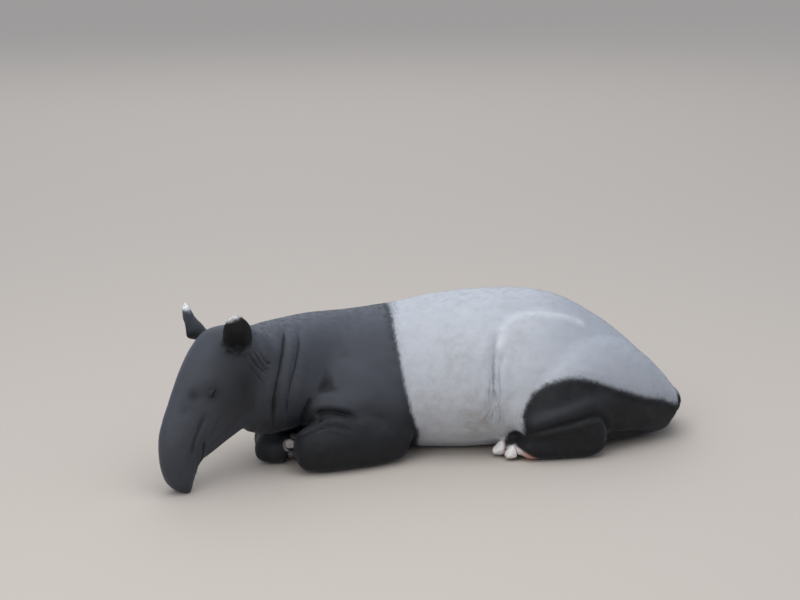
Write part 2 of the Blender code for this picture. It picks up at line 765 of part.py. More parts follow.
# Limbs: each is cut from the flesh inside a volume that follows its own bones
for side, flip in (("left", list), ("right", mirrored)):
    hind_foot = HIND_FOOT[:-1] + HIND_TOE_ROOM
    parts = (("hind_foot", flip(hind_foot)), ("shank", flip(SHANK)), ("thigh", flip(HAUNCH)))
    flesh = take_limbs(flesh, side, parts)
left_arm = (("forearm", LEFT_FOREARM), ("fore_foot", LEFT_FORE_FOOT[:-1] + LEFT_TOE_ROOM))
right_arm = (("forearm", RIGHT_FOREARM), ("fore_foot", RIGHT_FORE_FOOT[:-1] + RIGHT_TOE_ROOM))
for side, parts in (("left", left_arm), ("right", right_arm)):
    flesh = take_limbs(flesh, side, parts)

# Neck and trunk
trunk_whole = split(flesh, "neck", "trunk_whole", *SHOULDER_CUT)[1]
behind = split(trunk_whole, "shoulders", "behind", *BARREL_CUT)[1]
rump = split(behind, "barrel", "rump", *RUMP_CUT)[1]

# Tail: a short stub between the buttocks
swollen = grown_copy(rump, "swollen", GAP)
stub = loft("stub", TAIL, up=(1, 0, 0), sides=14)
carve(stub, "tail", drop=(swollen,))
discard((stub, swollen, floor, *hoof_cutters))

for thing in list(bpy.context.scene.objects):
    thing.data.shade_smooth()
    if thing.name.startswith("hoof"):
        paint(thing, HOOF_HORN, 0.6)
    elif thing.name.startswith("eye"):
        paint(thing, EYE_BROWN, 0.08)
    elif thing.name in ("barrel", "rump"):
        paint(thing, PALE_HIDE, 0.75)
    else:
        paint(thing, BLACK_HIDE, 0.7)
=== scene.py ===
import json
import math

import bmesh
import bpy
import numpy as np
from mathutils import Matrix, Vector
from mathutils.bvhtree import BVHTree

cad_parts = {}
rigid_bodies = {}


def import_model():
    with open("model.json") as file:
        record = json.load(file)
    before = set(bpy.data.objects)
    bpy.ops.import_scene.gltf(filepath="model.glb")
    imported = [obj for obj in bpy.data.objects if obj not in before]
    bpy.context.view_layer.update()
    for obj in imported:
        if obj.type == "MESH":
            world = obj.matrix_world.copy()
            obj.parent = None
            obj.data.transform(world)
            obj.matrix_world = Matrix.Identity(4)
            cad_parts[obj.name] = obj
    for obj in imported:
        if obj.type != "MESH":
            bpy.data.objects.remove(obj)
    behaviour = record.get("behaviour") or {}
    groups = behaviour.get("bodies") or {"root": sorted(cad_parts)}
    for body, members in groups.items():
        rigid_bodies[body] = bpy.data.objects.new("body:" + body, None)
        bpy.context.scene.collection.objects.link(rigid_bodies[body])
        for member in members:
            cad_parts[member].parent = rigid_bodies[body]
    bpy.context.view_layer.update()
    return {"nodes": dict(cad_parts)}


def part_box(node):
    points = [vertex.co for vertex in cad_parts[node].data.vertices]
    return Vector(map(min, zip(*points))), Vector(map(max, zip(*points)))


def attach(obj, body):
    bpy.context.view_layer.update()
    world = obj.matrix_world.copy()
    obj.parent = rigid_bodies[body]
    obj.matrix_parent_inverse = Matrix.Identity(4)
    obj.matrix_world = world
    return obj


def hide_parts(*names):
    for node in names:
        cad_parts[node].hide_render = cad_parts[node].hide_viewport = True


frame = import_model()


# The camera stands about eight metres off on a long lens, a little above the animal and a little
# towards its head.
camera_place, camera_back = (-1.6896, -7.5022, 2.3886), (-0.2017, -0.9490, 0.2419)
camera_data = bpy.data.cameras.new("camera")
camera_data.lens = 110
camera_data.sensor_width = 36
camera = bpy.data.objects.new("camera", camera_data)
camera.location = camera_place
camera.rotation_euler = Vector(camera_back).to_track_quat("Z", "Y").to_euler()
bpy.context.scene.collection.objects.link(camera)
bpy.context.scene.camera = camera


# The hide: one unbroken skin over head, body, legs, tail and ears, of thick skin under short flat fur.
# It is melted together from the solids of the flesh, eased smooth, and then folded and creased.
skin_voxel = 0.0040
skin_easing = 60
skin_triangles = 142000
coat_depth = 0.0015
eye_bulge = 0.0185
ear_nodes = ("ear_left", "ear_right")
flesh_nodes = [n for n in frame["nodes"] if not n.startswith(("ear_", "eye_", "hoof_"))]
hoof_nodes = [n for n in frame["nodes"] if n.startswith("hoof_")]


def middle(node):
    """The middle of a solid's box."""
    low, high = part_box(node)
    return (low + high) / 2


def applied(thing):
    """Leaves the thing as its modifiers show it."""
    graph = bpy.context.evaluated_depsgraph_get()
    mesh = bpy.data.meshes.new_from_object(thing.evaluated_get(graph))
    thing.modifiers.clear()
    thing.data = mesh
    return thing


def melted(thing, voxel):
    """Joins the thing's parts under one even skin."""
    melt = thing.modifiers.new("melt", "REMESH")
    melt.mode = "VOXEL"
    melt.voxel_size = voxel
    return applied(thing)


def built(name, shape):
    """Makes the shape an object of its own."""
    mesh = bpy.data.meshes.new(name)
    shape.to_mesh(mesh)
    shape.free()
    thing = bpy.data.objects.new(name, mesh)
    bpy.context.scene.collection.objects.link(thing)
    return thing


def numbers(items, key, width=1, kind=np.float32):
    """A named number of every item of a mesh, as rows."""
    values = np.empty(len(items) * width, kind)
    items.foreach_get(key, values)
    return values.reshape(-1, width) if width > 1 else values


def points_of(thing):
    return numbers(thing.data.vertices, "co", 3).astype(float)


def normals_of(thing):
    return numbers(thing.data.vertex_normals, "vector", 3).astype(float)


def set_points(thing, points):
    thing.data.vertices.foreach_set("co", points.astype(np.float32).ravel())
    thing.data.update()


def ends_of(thing):
    """The two ends of each edge."""
    return numbers(thing.data.edges, "vertices", 2, np.int32).T


def mean_around(points, near, far):
    """The middle of each point's neighbours."""
    count = np.bincount(near, minlength=len(points)) + np.bincount(far, minlength=len(points))
    return np.stack([
        np.bincount(near, points[far, k], len(points)) + np.bincount(far, points[near, k], len(points))
        for k in range(3)
    ], axis=1) / count[:, None]


def eased(thing, share, rounds):
    """Draws each point towards the middle of its neighbours, by its own share, round after round."""
    points, ends = points_of(thing), ends_of(thing)
    for _ in range(rounds):
        points += share[:, None] * (mean_around(points, *ends) - points)
    set_points(thing, points)


def distance_to(points, places):
    """From each point to the nearest of a few places."""
    best = np.full(len(points), 9.0)
    for place in places:
        best = np.minimum(best, np.linalg.norm(points - np.array(place), axis=1))
    return best


def near_to(points, places, radius):
    """One at the places, falling away round them."""
    return np.exp(-(distance_to(points, places) / radius) ** 2)


def ramp(value, low, high):
    """From nothing at the low value to one at the high."""
    t = np.clip((value - low) / (high - low), 0, 1)
    return t * t * (3 - 2 * t)


shape = bmesh.new()
for node in flesh_nodes:
    shape.from_mesh(frame["nodes"][node].data)
for node in ("eye_left", "eye_right"):
    socket_place = Matrix.Translation(middle(node))
    bmesh.ops.create_icosphere(shape, subdivisions=4, radius=eye_bulge, matrix=socket_place)
hide = built("hide", shape)
melted(hide, skin_voxel)

# The head has its own directions: towards the snout, the left cheek and the crown
head_origin = Vector((-0.732, -0.3045, 0.447))
head_yaw, head_pitch = math.radians(28), math.radians(62)
head_level = Vector((-math.cos(head_yaw), -math.sin(head_yaw), 0))
to_snout = head_level * math.cos(head_pitch) - Vector((0, 0, math.sin(head_pitch)))
to_crown = head_level * math.sin(head_pitch) + Vector((0, 0, math.cos(head_pitch)))
to_cheek = to_crown.cross(to_snout)
head_turn = np.array((to_snout, to_cheek, to_crown))


def in_head(points):
    """Points of the model in the head's own directions."""
    return (points - np.array(head_origin)) @ head_turn.T


def from_head(s, cheek, crown):
    """A place given in the head's own directions."""
    return head_origin + to_snout * s + to_cheek * cheek + to_crown * crown


def both_cheeks(s, cheek, crown):
    """The same place on the left and on the right of the head."""
    return [from_head(s, side * cheek, crown) for side in (1, -1)]


points = points_of(hide)
toes = distance_to(points, [middle(n) for n in hoof_nodes])
# The head, the toes and the tail are eased less, and keep more of their own form
head_share = 1 - ramp(points[:, 0], -0.70, -0.58)
loose = 1 - 0.72 * head_share
loose = np.minimum(loose, 0.10 + 0.90 * ramp(toes, 0.02, 0.12))
loose = np.minimum(loose, 0.25 + 0.75 * ramp(-points[:, 0], -0.80, -0.72))
eased(hide, 0.5 * loose, skin_easing)
set_points(hide, points_of(hide) - normals_of(hide) * coat_depth)


def pressed(thing, places):
    """Hollows and swellings of the hide, each as place, radius and depth."""
    points, normals = points_of(thing), normals_of(thing)
    for place, radius, depth in places:
        points -= normals * (depth * near_to(points, [place], radius))[:, None]
    set_points(thing, points)


hollows = []
for side in (1, -1):
    hollows += [
        (from_head(0.180, side * 0.056, 0.050), 0.024, 0.0110),
        (from_head(0.235, side * 0.048, 0.056), 0.024, 0.0070),
        (from_head(0.292, side * 0.040, 0.056), 0.022, 0.0035),
        (from_head(0.118, side * 0.078, 0.036), 0.024, -0.0045),
        (from_head(0.215, side * 0.072, 0.012), 0.022, -0.0020),
        (from_head(0.235, side * 0.085, -0.055), 0.045, -0.0040),
        (from_head(0.070, side * 0.095, -0.030), 0.040, 0.0040),
        (from_head(0.345, side * 0.054, -0.052), 0.016, -0.0040),
        (from_head(0.412, side * 0.016, -0.104), 0.011, -0.0055),
        (from_head(0.375, side * 0.016, -0.104), 0.013, 0.0040),
        (from_head(0.452, side * 0.018, -0.088), 0.014, -0.0050),
        ((0.180, side * 0.235, 0.300), 0.055, 0.0060),
        ((0.330, side * 0.180, 0.395), 0.060, -0.0040),
        ((0.560, side * 0.190, 0.235), 0.070, -0.0060),
        ((0.330, side * 0.330, 0.178), 0.030, -0.0040),
        ((-0.250, side * 0.235, 0.300), 0.070, -0.0050),
        ((-0.350, side * 0.190, 0.300), 0.050, 0.0050),
    ]
hollows += [((-0.385, -0.235, 0.208), 0.042, -0.0140), ((-0.330, -0.245, 0.206), 0.042, -0.0180),
            ((-0.275, -0.255, 0.200), 0.042, -0.0120)]
# Low swells and dips all over, so that no stretch of hide is quite even
ripple, ripple_count = np.random.default_rng(7), 130
points = points_of(hide)
for place in points[ripple.integers(0, len(points), ripple_count)]:
    if place[0] > -0.60:
        hollows.append((place, ripple.uniform(0.030, 0.075), ripple.uniform(-0.0020, 0.0020)))
pressed(hide, hollows)

# Creases follow routes over the skin: points near it, depth, half width, and the swelling beside it,
# which stands some widths off
bank_place, bank_width = 2.7, 1.4
main_neck_fold = (
    (-0.478, -0.170, 0.490), (-0.498, -0.205, 0.452), (-0.508, -0.240, 0.420), (-0.520, -0.270, 0.385),
    (-0.532, -0.292, 0.345), (-0.546, -0.302, 0.300), (-0.555, -0.302, 0.248), (-0.560, -0.280, 0.190),
    (-0.562, -0.235, 0.140),
)
rear_neck_fold = (
    (-0.430, -0.150, 0.475), (-0.452, -0.190, 0.430), (-0.465, -0.222, 0.392), (-0.480, -0.250, 0.350),
    (-0.496, -0.272, 0.300), (-0.508, -0.275, 0.245), (-0.516, -0.255, 0.190), (-0.520, -0.215, 0.145),
)
neck_creases = (
    (main_neck_fold, 0.0100, 0.0130, 0.0050),
    (main_neck_fold[1:], 0.0055, 0.0060, 0.0),
    (rear_neck_fold, 0.0055, 0.0140, 0.0020),
    (rear_neck_fold[1:6], 0.0020, 0.0060, 0.0),
    (((-0.430, -0.235, 0.235), (-0.446, -0.215, 0.190), (-0.456, -0.180, 0.150), (-0.456, -0.130, 0.118)),
     0.0060, 0.0090, 0.0020),
    (((-0.574, -0.332, 0.352), (-0.583, -0.330, 0.305), (-0.589, -0.318, 0.248), (-0.589, -0.290, 0.195),
      (-0.585, -0.255, 0.150)), 0.0045, 0.0080, 0.0020),
    (((-0.600, -0.300, 0.185), (-0.612, -0.275, 0.152), (-0.620, -0.235, 0.130)), 0.0045, 0.0070, 0.0020),
)
right_neck_creases = (
    (((-0.575, 0.012, 0.430), (-0.600, 0.008, 0.380), (-0.620, -0.005, 0.310), (-0.625, -0.020, 0.250),
      (-0.618, -0.050, 0.190)), 0.0090, 0.0120, 0.0030),
    (((-0.520, 0.035, 0.430), (-0.545, 0.045, 0.370), (-0.562, 0.045, 0.290), (-0.560, 0.020, 0.215)),
     0.0060, 0.0130, 0.0025),
)
forearm_creases = (
    (((-0.470, -0.280, 0.110), (-0.452, -0.285, 0.134), (-0.420, -0.288, 0.156), (-0.382, -0.288, 0.160),
      (-0.342, -0.295, 0.147), (-0.312, -0.300, 0.126)), 0.0085, 0.0065, 0.0040),
    (((-0.478, -0.250, 0.130), (-0.455, -0.258, 0.160), (-0.415, -0.262, 0.184), (-0.365, -0.262, 0.190),
      (-0.315, -0.268, 0.179), (-0.278, -0.274, 0.157)), 0.0105, 0.0075, 0.0045),
)
haunch_ridge = (
    (0.182, -0.222, 0.375), (0.202, -0.198, 0.408), (0.240, -0.172, 0.430), (0.302, -0.152, 0.440),
    (0.381, -0.142, 0.432), (0.470, -0.130, 0.400),
)
left_creases = (
    (((0.190, -0.200, 0.410), (0.172, -0.222, 0.383), (0.160, -0.250, 0.340), (0.152, -0.272, 0.285),
      (0.149, -0.284, 0.233), (0.155, -0.284, 0.190), (0.168, -0.272, 0.140)), 0.0070, 0.0110, 0.0040),
    (((0.200, -0.228, 0.365), (0.182, -0.255, 0.315), (0.174, -0.278, 0.255), (0.180, -0.284, 0.200)),
     0.0040, 0.0080, 0.0020),
    (((0.120, -0.262, 0.330), (0.112, -0.278, 0.270), (0.114, -0.285, 0.215)), 0.0030, 0.0090, 0.0015),
    (((0.175, -0.190, 0.425), (0.215, -0.160, 0.455), (0.290, -0.130, 0.468), (0.380, -0.115, 0.462),
      (0.480, -0.105, 0.425)), 0.0030, 0.0230, 0.0000),
    (haunch_ridge, -0.0055, 0.0150, 0.0000),
    (((0.245, -0.316, 0.112), (0.280, -0.330, 0.136), (0.330, -0.338, 0.155), (0.390, -0.332, 0.170),
      (0.450, -0.314, 0.180), (0.510, -0.285, 0.178)), -0.0080, 0.0170, 0.0000),
    (((0.255, -0.312, 0.092), (0.276, -0.329, 0.102), (0.312, -0.342, 0.114), (0.350, -0.348, 0.126),
      (0.410, -0.345, 0.139), (0.460, -0.332, 0.149), (0.500, -0.308, 0.134), (0.523, -0.290, 0.095),
      (0.532, -0.280, 0.050)), 0.0110, 0.0080, 0.0030),
    (((0.340, -0.345, 0.088), (0.385, -0.348, 0.097), (0.425, -0.343, 0.095)), 0.0035, 0.0060, 0.0015),
    (((0.535, -0.262, 0.080), (0.580, -0.240, 0.052), (0.640, -0.215, 0.040), (0.700, -0.180, 0.034)),
     0.0070, 0.0110, 0.0030),
    (((0.660, -0.205, 0.130), (0.720, -0.175, 0.100), (0.775, -0.130, 0.075)), 0.0040, 0.0120, 0.0020),
)


def across(routes):
    """The same routes on the other flank."""
    return tuple((tuple((x, -y, z) for x, y, z in route), *sizes) for route, *sizes in routes)


def smooth_route(route, spacing=0.0015):
    """Points close together on a smooth curve through the route's own."""
    rows = [np.array(p, float) for p in route]
    rows = [2 * rows[0] - rows[1]] + rows + [2 * rows[-1] - rows[-2]]
    out = []
    for a, b, c, d in zip(rows, rows[1:], rows[2:], rows[3:]):
        steps = max(2, int(np.linalg.norm(c - b) / spacing))
        for k in range(steps):
            t = k / steps
            out.append(b + 0.5 * t * (c - a + t * (2 * a - 5 * b + 4 * c - d + t * (3 * (b - c) + d - a))))
    return np.array(out)


def creased(thing, creases):
    """Presses lines into the skin, fading at both ends, and lets the skin swell beside them."""
    graph = bpy.context.evaluated_depsgraph_get()
    tree = BVHTree.FromObject(thing, graph)
    points, normals = points_of(thing), normals_of(thing)
    shift = np.zeros(len(points))
    for route, depth, width, swell in creases:
        line = np.array([tree.find_nearest(Vector(p))[0] for p in smooth_route(route)])
        low, high = line.min(0) - 6 * width, line.max(0) + 6 * width
        near = np.nonzero(((points > low) & (points < high)).all(1))[0]
        away = np.full(len(near), 9.0)
        where = np.zeros(len(near))
        for k, place in enumerate(line):
            d = np.linalg.norm(points[near] - place, axis=1)
            closer = d < away
            away[closer] = d[closer]
            where[closer] = k / len(line)
        fade = np.clip(np.sin(np.pi * where) * 1.5, 0, 1) ** 0.8
        groove = -depth * np.exp(-(away / width) ** 2)
        bank = swell * np.exp(-((away - bank_place * width) / (bank_width * width)) ** 2)
        shift[near] += fade * (groove + bank)
    set_points(thing, points + normals * shift[:, None])


def on_cheeks(routes):
    """Routes given in the head's own directions, for both cheeks."""
    return tuple(
        (tuple(tuple(from_head(s, side * cheek, crown)) for s, cheek, crown in route), *sizes)
        for side in (1, -1)
        for route, *sizes in routes
    )


head_creases = on_cheeks((
    (((0.215, 0.073, 0.002), (0.240, 0.070, -0.002), (0.262, 0.067, -0.005), (0.288, 0.063, -0.008),
      (0.328, 0.057, -0.018), (0.358, 0.054, -0.032)), 0.0060, 0.0065, 0.0028),
    (((0.292, 0.060, -0.045), (0.310, 0.056, -0.056), (0.340, 0.052, -0.078), (0.372, 0.045, -0.100),
      (0.398, 0.026, -0.120)), 0.0110, 0.0038, 0.0030),
    (((0.195, 0.087, -0.050), (0.225, 0.078, -0.054), (0.255, 0.070, -0.056), (0.285, 0.062, -0.056)),
     0.0025, 0.0060, 0.0015),
    (((0.262, 0.066, 0.010), (0.290, 0.062, 0.012), (0.318, 0.058, 0.008)), 0.0015, 0.0040, 0.0008),
))
creased(hide, neck_creases + right_neck_creases + forearm_creases
        + left_creases + across(left_creases) + head_creases)
along = points_of(hide)[:, 0]
folded = ramp(along, -0.66, -0.62) * (1 - ramp(along, -0.24, -0.18))
eased(hide, 0.35 * folded, 4)

# Nostrils: two comma-shaped pits at the front of the snout
nostrils = both_cheeks(0.470, 0.020, -0.026)
pressed(hide, [(place, 0.0085, 0.013) for place in nostrils])

# The ears: cupped leaves rolled at the root, joined to the skin
ear_length, ear_width = 0.112, 0.086
ear_root_wall, ear_rim_wall = 0.0046, 0.0022
ear_waist, ear_widest, ear_bluntness = 0.45, 0.50, 3.0
ear_sunk = 0.024
ear_steps = 44


def ear_leaf(root, axis, opening):
    """A closed cup. Its wall thins towards the rim, which curls outwards a little and is uneven."""
    axis = Vector(axis).normalized()
    side = axis.cross(Vector(opening)).normalized()
    out = side.cross(axis).normalized()

    def place(v, t, inner):
        if v < ear_widest:
            wide = ear_waist + (1 - ear_waist) * ramp(v, 0.08, ear_widest)
        else:
            wide = math.sqrt(max(0.16, 1 - ((v - ear_widest) / (1.012 - ear_widest)) ** ear_bluntness))
        half = ear_width / 2 * wide
        curl = math.radians(176 - 122 * min(1, max(0, (v - 0.19) / 0.48)) ** 0.6)
        radius = half / math.sin(min(curl, math.pi / 2))
        wall = (ear_root_wall + (ear_rim_wall - ear_root_wall) * v) * (1 if inner else 0)
        rim = abs(t) ** 6
        angle = t * curl
        r = radius - wall + 0.0025 * rim * min(1, 2 * v)
        height = -ear_sunk + (ear_length + ear_sunk) * v - (wall if v > 0.99 else 0)
        height += 0.0015 * math.sin(9 * t) * v * v
        ribs = 0.0010 * math.cos(7 * angle) * math.exp(-((v - 0.45) / 0.3) ** 2) * (1 if inner else 0)
        lean = 0.012 * v * v + 0.95 * radius * (1 - ramp(v, 0.0, 0.34))
        return (
            Vector(root) + axis * height + side * ((r - ribs) * math.sin(angle))
            + out * (radius * math.cos(curl) * 0.5 - (r - ribs) * math.cos(angle) + radius * 0.5 - lean)
        )

    leaf = bmesh.new()
    n = ear_steps
    outer, inner = (
        [[leaf.verts.new(place(j / n, 2 * i / n - 1, wall)) for i in range(n + 1)] for j in range(n + 1)]
        for wall in (False, True)
    )
    for j in range(n):
        for i in range(n):
            leaf.faces.new((outer[j][i], outer[j][i + 1], outer[j + 1][i + 1], outer[j + 1][i]))
            leaf.faces.new((inner[j][i], inner[j + 1][i], inner[j + 1][i + 1], inner[j][i + 1]))
        for i in (0, n):
            leaf.faces.new((outer[j][i], outer[j + 1][i], inner[j + 1][i], inner[j][i]))
    for i in range(n):
        for j in (0, n):
            leaf.faces.new((outer[j][i], outer[j][i + 1], inner[j][i + 1], inner[j][i]))
    bmesh.ops.recalc_face_normals(leaf, faces=leaf.faces)
    return leaf


ears = {}
for side, node, lean in ((1, "ear_left", (-0.74, 0.20, 0.65)), (-1, "ear_right", (-0.59, -0.36, 0.72))):
    root = from_head(0.0, side * 0.100, -0.010)
    axis = to_snout * lean[0] + to_cheek * lean[1] + to_crown * lean[2]
    opening = to_snout * 0.317 + to_cheek * side * 0.739 + to_crown * 0.597
    ears[node] = (root, axis.normalized(), opening.normalized())
    leaf = built("leaf", ear_leaf(root, axis, opening))
    graft = hide.modifiers.new("graft", "BOOLEAN")
    graft.operation = "UNION"
    graft.solver = "MANIFOLD"
    graft.object = leaf
    applied(hide)
    bpy.data.objects.remove(leaf)
points = points_of(hide)
roots = distance_to(points, [root for root, axis, opening in ears.values()])
eased(hide, 0.45 * (1 - ramp(roots, 0.030, 0.055)), 10)

thin = hide.modifiers.new("thin", "DECIMATE")
thin.ratio = skin_triangles / sum(len(face.vertices) - 2 for face in hide.data.polygons)
applied(hide)


# Lids: the skin is divided finely round each eye, opened in an almond, and laid over the eyeball
eye_radius = 0.0165
lid_wall = 0.0018
eye_half, upper_lid, lower_lid, lid_slant = 0.0145, 0.0072, 0.0056, 0.04
skin_above_floor = 0.0008
lid_wrinkles = ((4.6, 1.6, 1.1), (8.0, 1.3, 1.1), (11.5, 1.2, 1.3), (15.5, 0.9, 1.4), (20.0, 0.7, 1.6))
eye_frames = {}
for side, node in ((1, "eye_left"), (-1, "eye_right")):
    outward = (to_snout * 0.12 + to_cheek * side + to_crown * 0.20).normalized()
    level = to_crown.cross(outward).normalized()
    eye_frames[node] = (middle(node), np.array((outward, level, outward.cross(level))))


def divided(thing, places):
    """Halves every edge whose both ends lie within a radius of any of the places."""
    points = points_of(thing)
    near = np.zeros(len(points), bool)
    for place, radius in places:
        near |= distance_to(points, [place]) < radius
    shape = bmesh.new()
    shape.from_mesh(thing.data)
    edges = [e for e in shape.edges if near[e.verts[0].index] and near[e.verts[1].index]]
    bmesh.ops.subdivide_edges(shape, edges=edges, cuts=1)
    bmesh.ops.triangulate(shape, faces=[f for f in shape.faces if len(f.verts) > 3])
    shape.to_mesh(thing.data)
    shape.free()


eye_places = [place for place, turn in eye_frames.values()]
mouth_corners = both_cheeks(0.305, 0.058, -0.052)
fan_places = [(-0.612, -0.355, 0.395), (-0.590, -0.338, 0.350)]
flank_places = [(0.158, -side * 0.275, z) for side in (1, -1) for z in (0.150, 0.200, 0.250, 0.300)]
divided(hide, [(place, 0.040) for place in eye_places] + [(place, 0.030) for place in mouth_corners]
        + [(place, 0.024) for place in nostrils] + [(place, 0.050) for place in fan_places]
        + [(place, 0.046) for place in flank_places])
divided(hide, [(place, 0.032) for place in flank_places] + [(place, 0.034) for place in fan_places])
fan_creases = (
    (((-0.645, -0.368, 0.428), (-0.628, -0.366, 0.398), (-0.607, -0.353, 0.372), (-0.582, -0.328, 0.345)),
     0.0045, 0.0036, 0.0015),
    (((-0.630, -0.360, 0.432), (-0.613, -0.356, 0.404), (-0.594, -0.343, 0.372), (-0.572, -0.322, 0.352)),
     0.0040, 0.0036, 0.0015),
    (((-0.613, -0.350, 0.433), (-0.600, -0.345, 0.410), (-0.584, -0.333, 0.386), (-0.566, -0.316, 0.372)),
     0.0036, 0.0036, 0.0012),
    (((-0.655, -0.372, 0.408), (-0.636, -0.370, 0.375), (-0.612, -0.356, 0.345), (-0.592, -0.338, 0.312)),
     0.0032, 0.0036, 0.0012),
)
flank_creases = (
    (((0.166, -0.235, 0.365), (0.158, -0.252, 0.335), (0.152, -0.272, 0.285), (0.149, -0.284, 0.235),
      (0.156, -0.284, 0.190)), 0.0042, 0.0026, 0.0012),
    (((0.174, -0.256, 0.318), (0.169, -0.276, 0.262), (0.171, -0.284, 0.215), (0.162, -0.284, 0.172)),
     0.0026, 0.0026, 0.0010),
    (((0.140, -0.270, 0.282), (0.136, -0.284, 0.225), (0.142, -0.284, 0.178)), 0.0020, 0.0026, 0.0008),
    (((0.151, -0.284, 0.206), (0.138, -0.284, 0.168), (0.120, -0.280, 0.125)), 0.0026, 0.0026, 0.0010),
    (((0.160, -0.284, 0.200), (0.170, -0.280, 0.160), (0.174, -0.272, 0.118)), 0.0026, 0.0026, 0.0010),
    (((0.146, -0.284, 0.192), (0.150, -0.284, 0.155), (0.148, -0.280, 0.115)), 0.0020, 0.0026, 0.0008),
)
creased(hide, fan_creases + flank_creases + across(flank_creases))
points = points_of(hide)
eased(hide, 0.4 * (1 - ramp(distance_to(points, eye_places), 0.028, 0.040)), 12)
divided(hide, [(place, 0.031) for place in eye_places] + [(place, 0.018) for place in nostrils])
divided(hide, [(place, 0.024) for place in eye_places])
points = points_of(hide)
eased(hide, 0.5 * (1 - ramp(distance_to(points, eye_places), 0.020, 0.030)), 8)

points = points_of(hide)
# Worked in millimetres: out of the eye, along it and up it
for centre, turn in eye_frames.values():
    local = (points - np.array(centre)) @ turn.T
    out, b, c = local.T * 1000
    near = (np.abs(b) < 34) & (np.abs(c) < 34) & (out > 0)
    reach = np.clip(1 - (b / (eye_half * 1000)) ** 2, -1.5, 1)
    upper = upper_lid * 1000 * reach - lid_slant * b
    lower = -lower_lid * 1000 * reach - lid_slant * b
    outside = np.where(c > (upper + lower) / 2, c - upper, lower - c)
    over = np.hypot(b, c)
    ball = np.sqrt(np.clip((eye_radius * 1000 + lid_wall * 1000) ** 2 - over ** 2, 0, None))
    under = np.sqrt(np.clip((eye_radius * 1000 - 2.2) ** 2 - over ** 2, 0, None))
    drape = 1 - ramp(over, 8.0, 18.0)
    lid = out + (ball - out) * drape
    rise = np.where(c > 0, 1.0, 0.8)
    lid += drape * rise * (1.3 * np.exp(-((outside - 1.5) / 1.5) ** 2))
    for far, deep, wide in lid_wrinkles:
        wave = 0.7 * np.sin(b * 0.55 + far)
        lid -= deep * np.exp(-((outside + wave - far) / wide) ** 2) * (1 - ramp(np.abs(b), 15, 26))
    opened = 1 - ramp(outside, -0.9, 0.35)
    moved = lid * (1 - opened) + under * opened
    out = np.where(near, moved, out)
    points = np.where(near[:, None], np.array(centre) + np.stack((out, b, c), axis=1) @ turn / 1000, points)
# Nothing of the skin goes under the floor
points[:, 2] = np.maximum(points[:, 2], skin_above_floor)
set_points(hide, points)


# Markings: a pale saddle from behind the shoulders to the rump, with the rest black. The border is kept
# on each point as its distance in metres, pale above zero. Bare pink skin, stains and the painted shade of
# the nostrils are kept too.
shoulder_border = ((0.00, -0.060), (0.10, -0.079), (0.126, -0.092), (0.176, -0.110), (0.257, -0.128),
                   (0.332, -0.138), (0.413, -0.143), (0.50, -0.131))
haunch_border = ((0.236, -0.02), (0.243, 0.070), (0.242, 0.107), (0.237, 0.156), (0.250, 0.188),
                 (0.275, 0.222), (0.315, 0.250), (0.379, 0.268), (0.428, 0.269), (0.495, 0.248),
                 (0.585, 0.210), (0.662, 0.177), (0.732, 0.156), (0.786, 0.128), (0.835, 0.112),
                 (0.90, 0.10), (0.90, -0.02))
stain_places = (
    ((0.048, -0.241, 0.332), 0.060, 0.30), ((0.095, -0.267, 0.142), 0.050, 0.7),
    ((0.020, -0.262, 0.230), 0.080, 0.15), ((-0.060, -0.240, 0.150), 0.060, 0.4),
    ((0.120, -0.270, 0.090), 0.060, 0.9), ((0.050, 0.250, 0.300), 0.080, 0.3),
    ((0.180, 0.270, 0.110), 0.070, 0.8), ((0.550, -0.210, 0.300), 0.080, 0.15),
)
pale_tips = {"ear_left": ((-0.014, 0.0, 0.008), 0.029), "ear_right": ((0.0, 0.0, 0.0), 0.027)}
fore_leg_line = ((-0.125, -0.192, 0.075), (-0.310, -0.252, 0.086), (-0.478, -0.264, 0.068))
hind_foot_line = ((0.512, 0.290, 0.054), (0.400, 0.294, 0.050), (0.320, 0.289, 0.044), (0.240, 0.268, 0.040))
thigh_swell = ((0.285, 0.325, 0.140), (0.335, 0.340, 0.165), (0.400, 0.335, 0.190), (0.520, 0.290, 0.200))


def from_outline(points, outline):
    """Distance to a closed outline in the plane, below zero inside."""
    outline = np.array(outline)
    nxt = np.roll(outline, -1, axis=0)
    best = np.full(len(points), 9.0)
    inside = np.zeros(len(points), bool)
    for a, b in zip(outline, nxt):
        run = b - a
        t = np.clip(((points - a) @ run) / (run @ run), 0, 1)
        best = np.minimum(best, np.linalg.norm(points - a - t[:, None] * run, axis=1))
        crosses = (a[1] > points[:, 1]) != (b[1] > points[:, 1])
        level = a[0] + (points[:, 1] - a[1]) * run[0] / (run[1] if abs(run[1]) > 1e-9 else 1e-9)
        inside ^= crosses & (points[:, 0] < level)
    return np.where(inside, -best, best)


def from_line(points, line):
    """Distance to a line of straight runs."""
    best = np.full(len(points), 9.0)
    for a, b in zip(line, line[1:]):
        a, run = np.array(a), np.array(b) - np.array(a)
        t = np.clip(((points - a) @ run) / (run @ run), 0, 1)
        best = np.minimum(best, np.linalg.norm(points - a - t[:, None] * run, axis=1))
    return best


